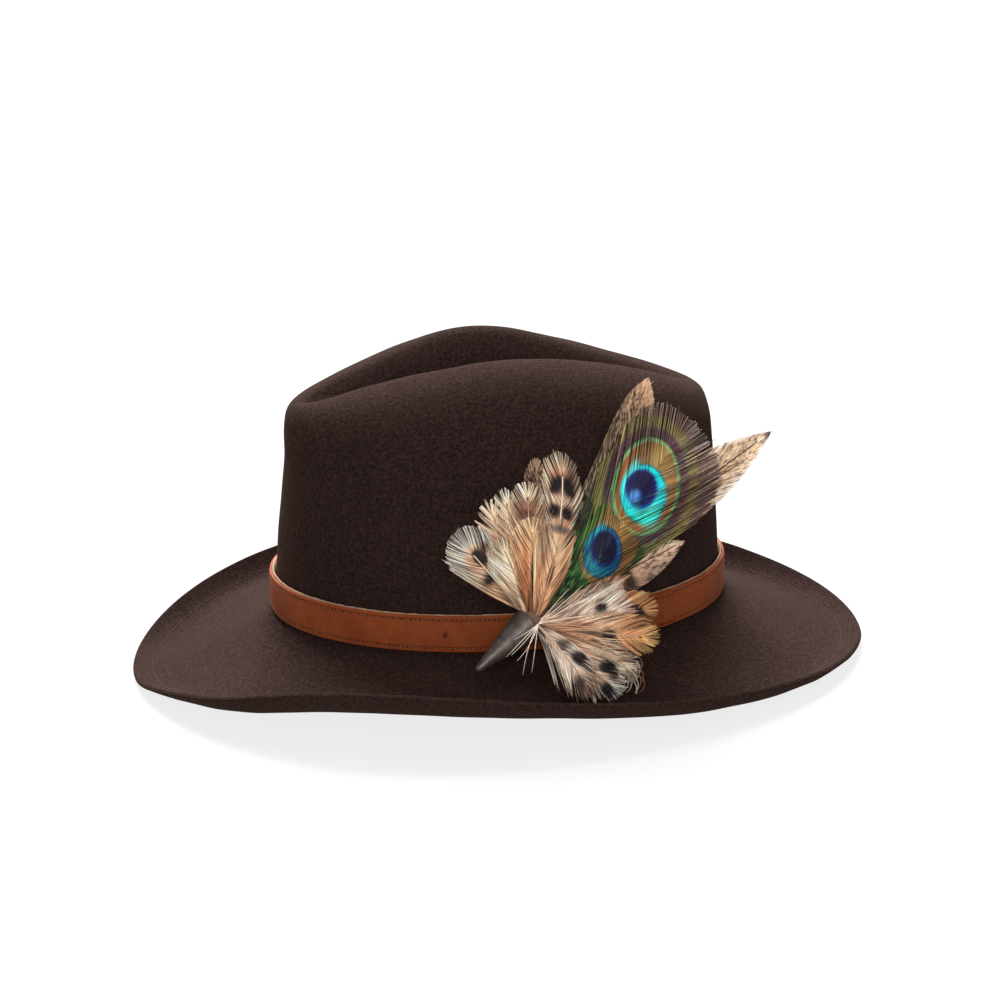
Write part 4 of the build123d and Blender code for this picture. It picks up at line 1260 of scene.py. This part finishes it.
def make_wisps():
    """Loose fine barbs that spring from the binding over the cone."""
    rng = np.random.default_rng(77)
    shape = Shape()
    # direction in degrees, reach and rise in mm
    data = [(214, 20, 2.0), (224, 18, 3.0), (229, 22, 4.0), (243, 18, 3.5), (250, 21, 5.0), (204, 13, 3.5),
            (36, 26, 5.0), (22, 33, 6.0), (9, 30, 7.0), (50, 20, 5.0)]
    x = np.linspace(0, 1, 14)
    tint = np.repeat(rgb(PALE)[None] * 1.25, len(x), 0)
    radius = 0.18 * (1 - 0.6 * x)
    for direction, reach, rise in data:
        a = math.radians(direction)
        flat = ALONG * math.cos(a) + UP * math.sin(a)
        side = np.cross(OUT, flat)
        bend = rng.normal(0, 2.4)
        path = (GATHER + OUT * 8.2 + flat * (reach * x)[:, None] + side * (bend * x * x)[:, None]
                + OUT * (rise * np.sin(x * 2.2) * 0.5)[:, None])
        shape.tube(path, radius, OUT, 5, 1.0, tint)
    # hooked barb ends at the lower right of the fan
    step, stations = 0.9, 24
    radius = 0.36 * (1 - 0.6 * np.linspace(0, 1, stations))
    for k in range(13):
        heading = math.radians(-22 + rng.normal(0, 7))
        place = np.array([30.5 + rng.normal(0, 1.6), -15.5 - 1.05 * k * 0.7 + rng.normal(0, 0.6)])
        straight = rng.integers(7, 13)
        tight = rng.uniform(1.6, 2.7) / (stations - 1 - straight)
        path = []
        for index in range(stations):
            path.append(GATHER + ALONG * place[0] + UP * place[1] + OUT * (14.5 - 0.16 * index + 0.2 * k))
            if index > straight:
                heading -= tight
            place = place + step * np.array([math.cos(heading), math.sin(heading)])
        tint = np.linspace(1.0, 0.75, stations)[:, None] * rgb(PALE if k % 3 else (150, 104, 76))[None]
        shape.tube(np.array(path), radius, OUT, 6, 0.6, tint)
    shape.make("feather_wisps", SILK, "brooch")


make_wisps()


# ------------------------ floor, light and camera

def make_stage():
    s = Surface("pale_floor", 0.9, Specular_IOR_Level=0.1, Emission_Color=(1, 1, 1, 1),
                Emission_Strength=0.81)
    s.colour(s.mix(s.ramp(s.noise(60, 4), 0.3, 0.7), (0.066, 0.066, 0.066), (0.072, 0.072, 0.072)))
    count, drop = 41, 0.0002
    corners = [(x, y, -drop) for y in np.linspace(-6, 9, count) for x in np.linspace(-7, 7, count)]
    index = np.arange(count * count).reshape(count, count)
    quads = np.stack([index[:-1, :-1], index[:-1, 1:], index[1:, 1:], index[1:, :-1]], -1).reshape(-1, 4)
    mesh = bpy.data.meshes.new("floor")
    mesh.from_pydata(corners, [], quads.tolist())
    mesh.materials.append(s.material)
    floor = bpy.data.objects.new("floor", mesh)
    bpy.context.scene.collection.objects.link(floor)


def hang_lamp(data, place, aim):
    lamp = bpy.data.objects.new(data.name, data)
    lamp.location = place
    lamp.rotation_euler = Vector(aim).to_track_quat("-Z", "Y").to_euler()
    bpy.context.scene.collection.objects.link(lamp)


def area_light(name, place, target, size, power, colour=(1, 1, 1)):
    data = bpy.data.lights.new(name, "AREA")
    data.shape = "RECTANGLE"
    data.size, data.size_y = size
    data.energy = power
    data.color = colour
    hang_lamp(data, place, Vector(target) - Vector(place))


def sun_light(name, side, power, spread):
    """A sun that shines from the given side, spread degrees wide."""
    data = bpy.data.lights.new(name, "SUN")
    data.energy = power
    data.angle = math.radians(spread)
    hang_lamp(data, (0, 0, 0), -Vector(side))


def make_camera():
    """The photograph's viewpoint; focal and the shifts are in thousandths of the picture's width."""
    azimuth, elevation = math.radians(-14.0), math.radians(18.0)
    back = Vector((math.sin(azimuth) * math.cos(elevation), -math.cos(azimuth) * math.cos(elevation),
                   math.sin(elevation)))
    right = Vector((math.cos(azimuth), math.sin(azimuth), 0.0))
    up = back.cross(right)
    focal, distance, film = 3225.0, 1.5, 36.0
    ahead = (-back + right * (3.1 / focal) + up * (90.7 / focal)).normalized()
    side = ahead.cross(up).normalized()
    top = side.cross(ahead)
    turn = Matrix((side, top, -ahead)).transposed()
    data = bpy.data.cameras.new("camera")
    data.sensor_width = film
    data.lens = focal * film / 1000.0
    data.clip_start, data.clip_end = 0.05, 60
    camera = bpy.data.objects.new("camera", data)
    camera.matrix_world = (Matrix.Translation(Vector((0, 0, 0.0284)) + back * distance)
                           @ turn.to_4x4() @ Matrix.Rotation(math.radians(-1.0), 4, "Z"))
    bpy.context.scene.collection.objects.link(camera)
    bpy.context.scene.camera = camera


make_stage()
make_camera()
sun_light("top_soft_light", (0.12, 1.1, 1.12), 14.0, 36)
area_light("top_box", (-0.2, 0.1, 1.3), (0, 0, 0.05), (1.0, 0.8), 8)
area_light("right_box", (1.1, -0.7, 1.5), (0.08, 0, 0.03), (0.8, 0.8), 9, (1.0, 0.94, 0.88))
area_light("front_fill", (-0.75, -1.9, 0.85), (0, 0, 0.08), (1.5, 1.2), 31)
world = bpy.data.worlds.new("studio")
world.use_nodes = True
backdrop = world.node_tree.nodes["Background"]
backdrop.inputs["Color"].default_value = (1, 1, 1, 1)
backdrop.inputs["Strength"].default_value = 0.14
bpy.context.scene.world = world
bpy.context.scene.view_settings.view_transform = "Standard"
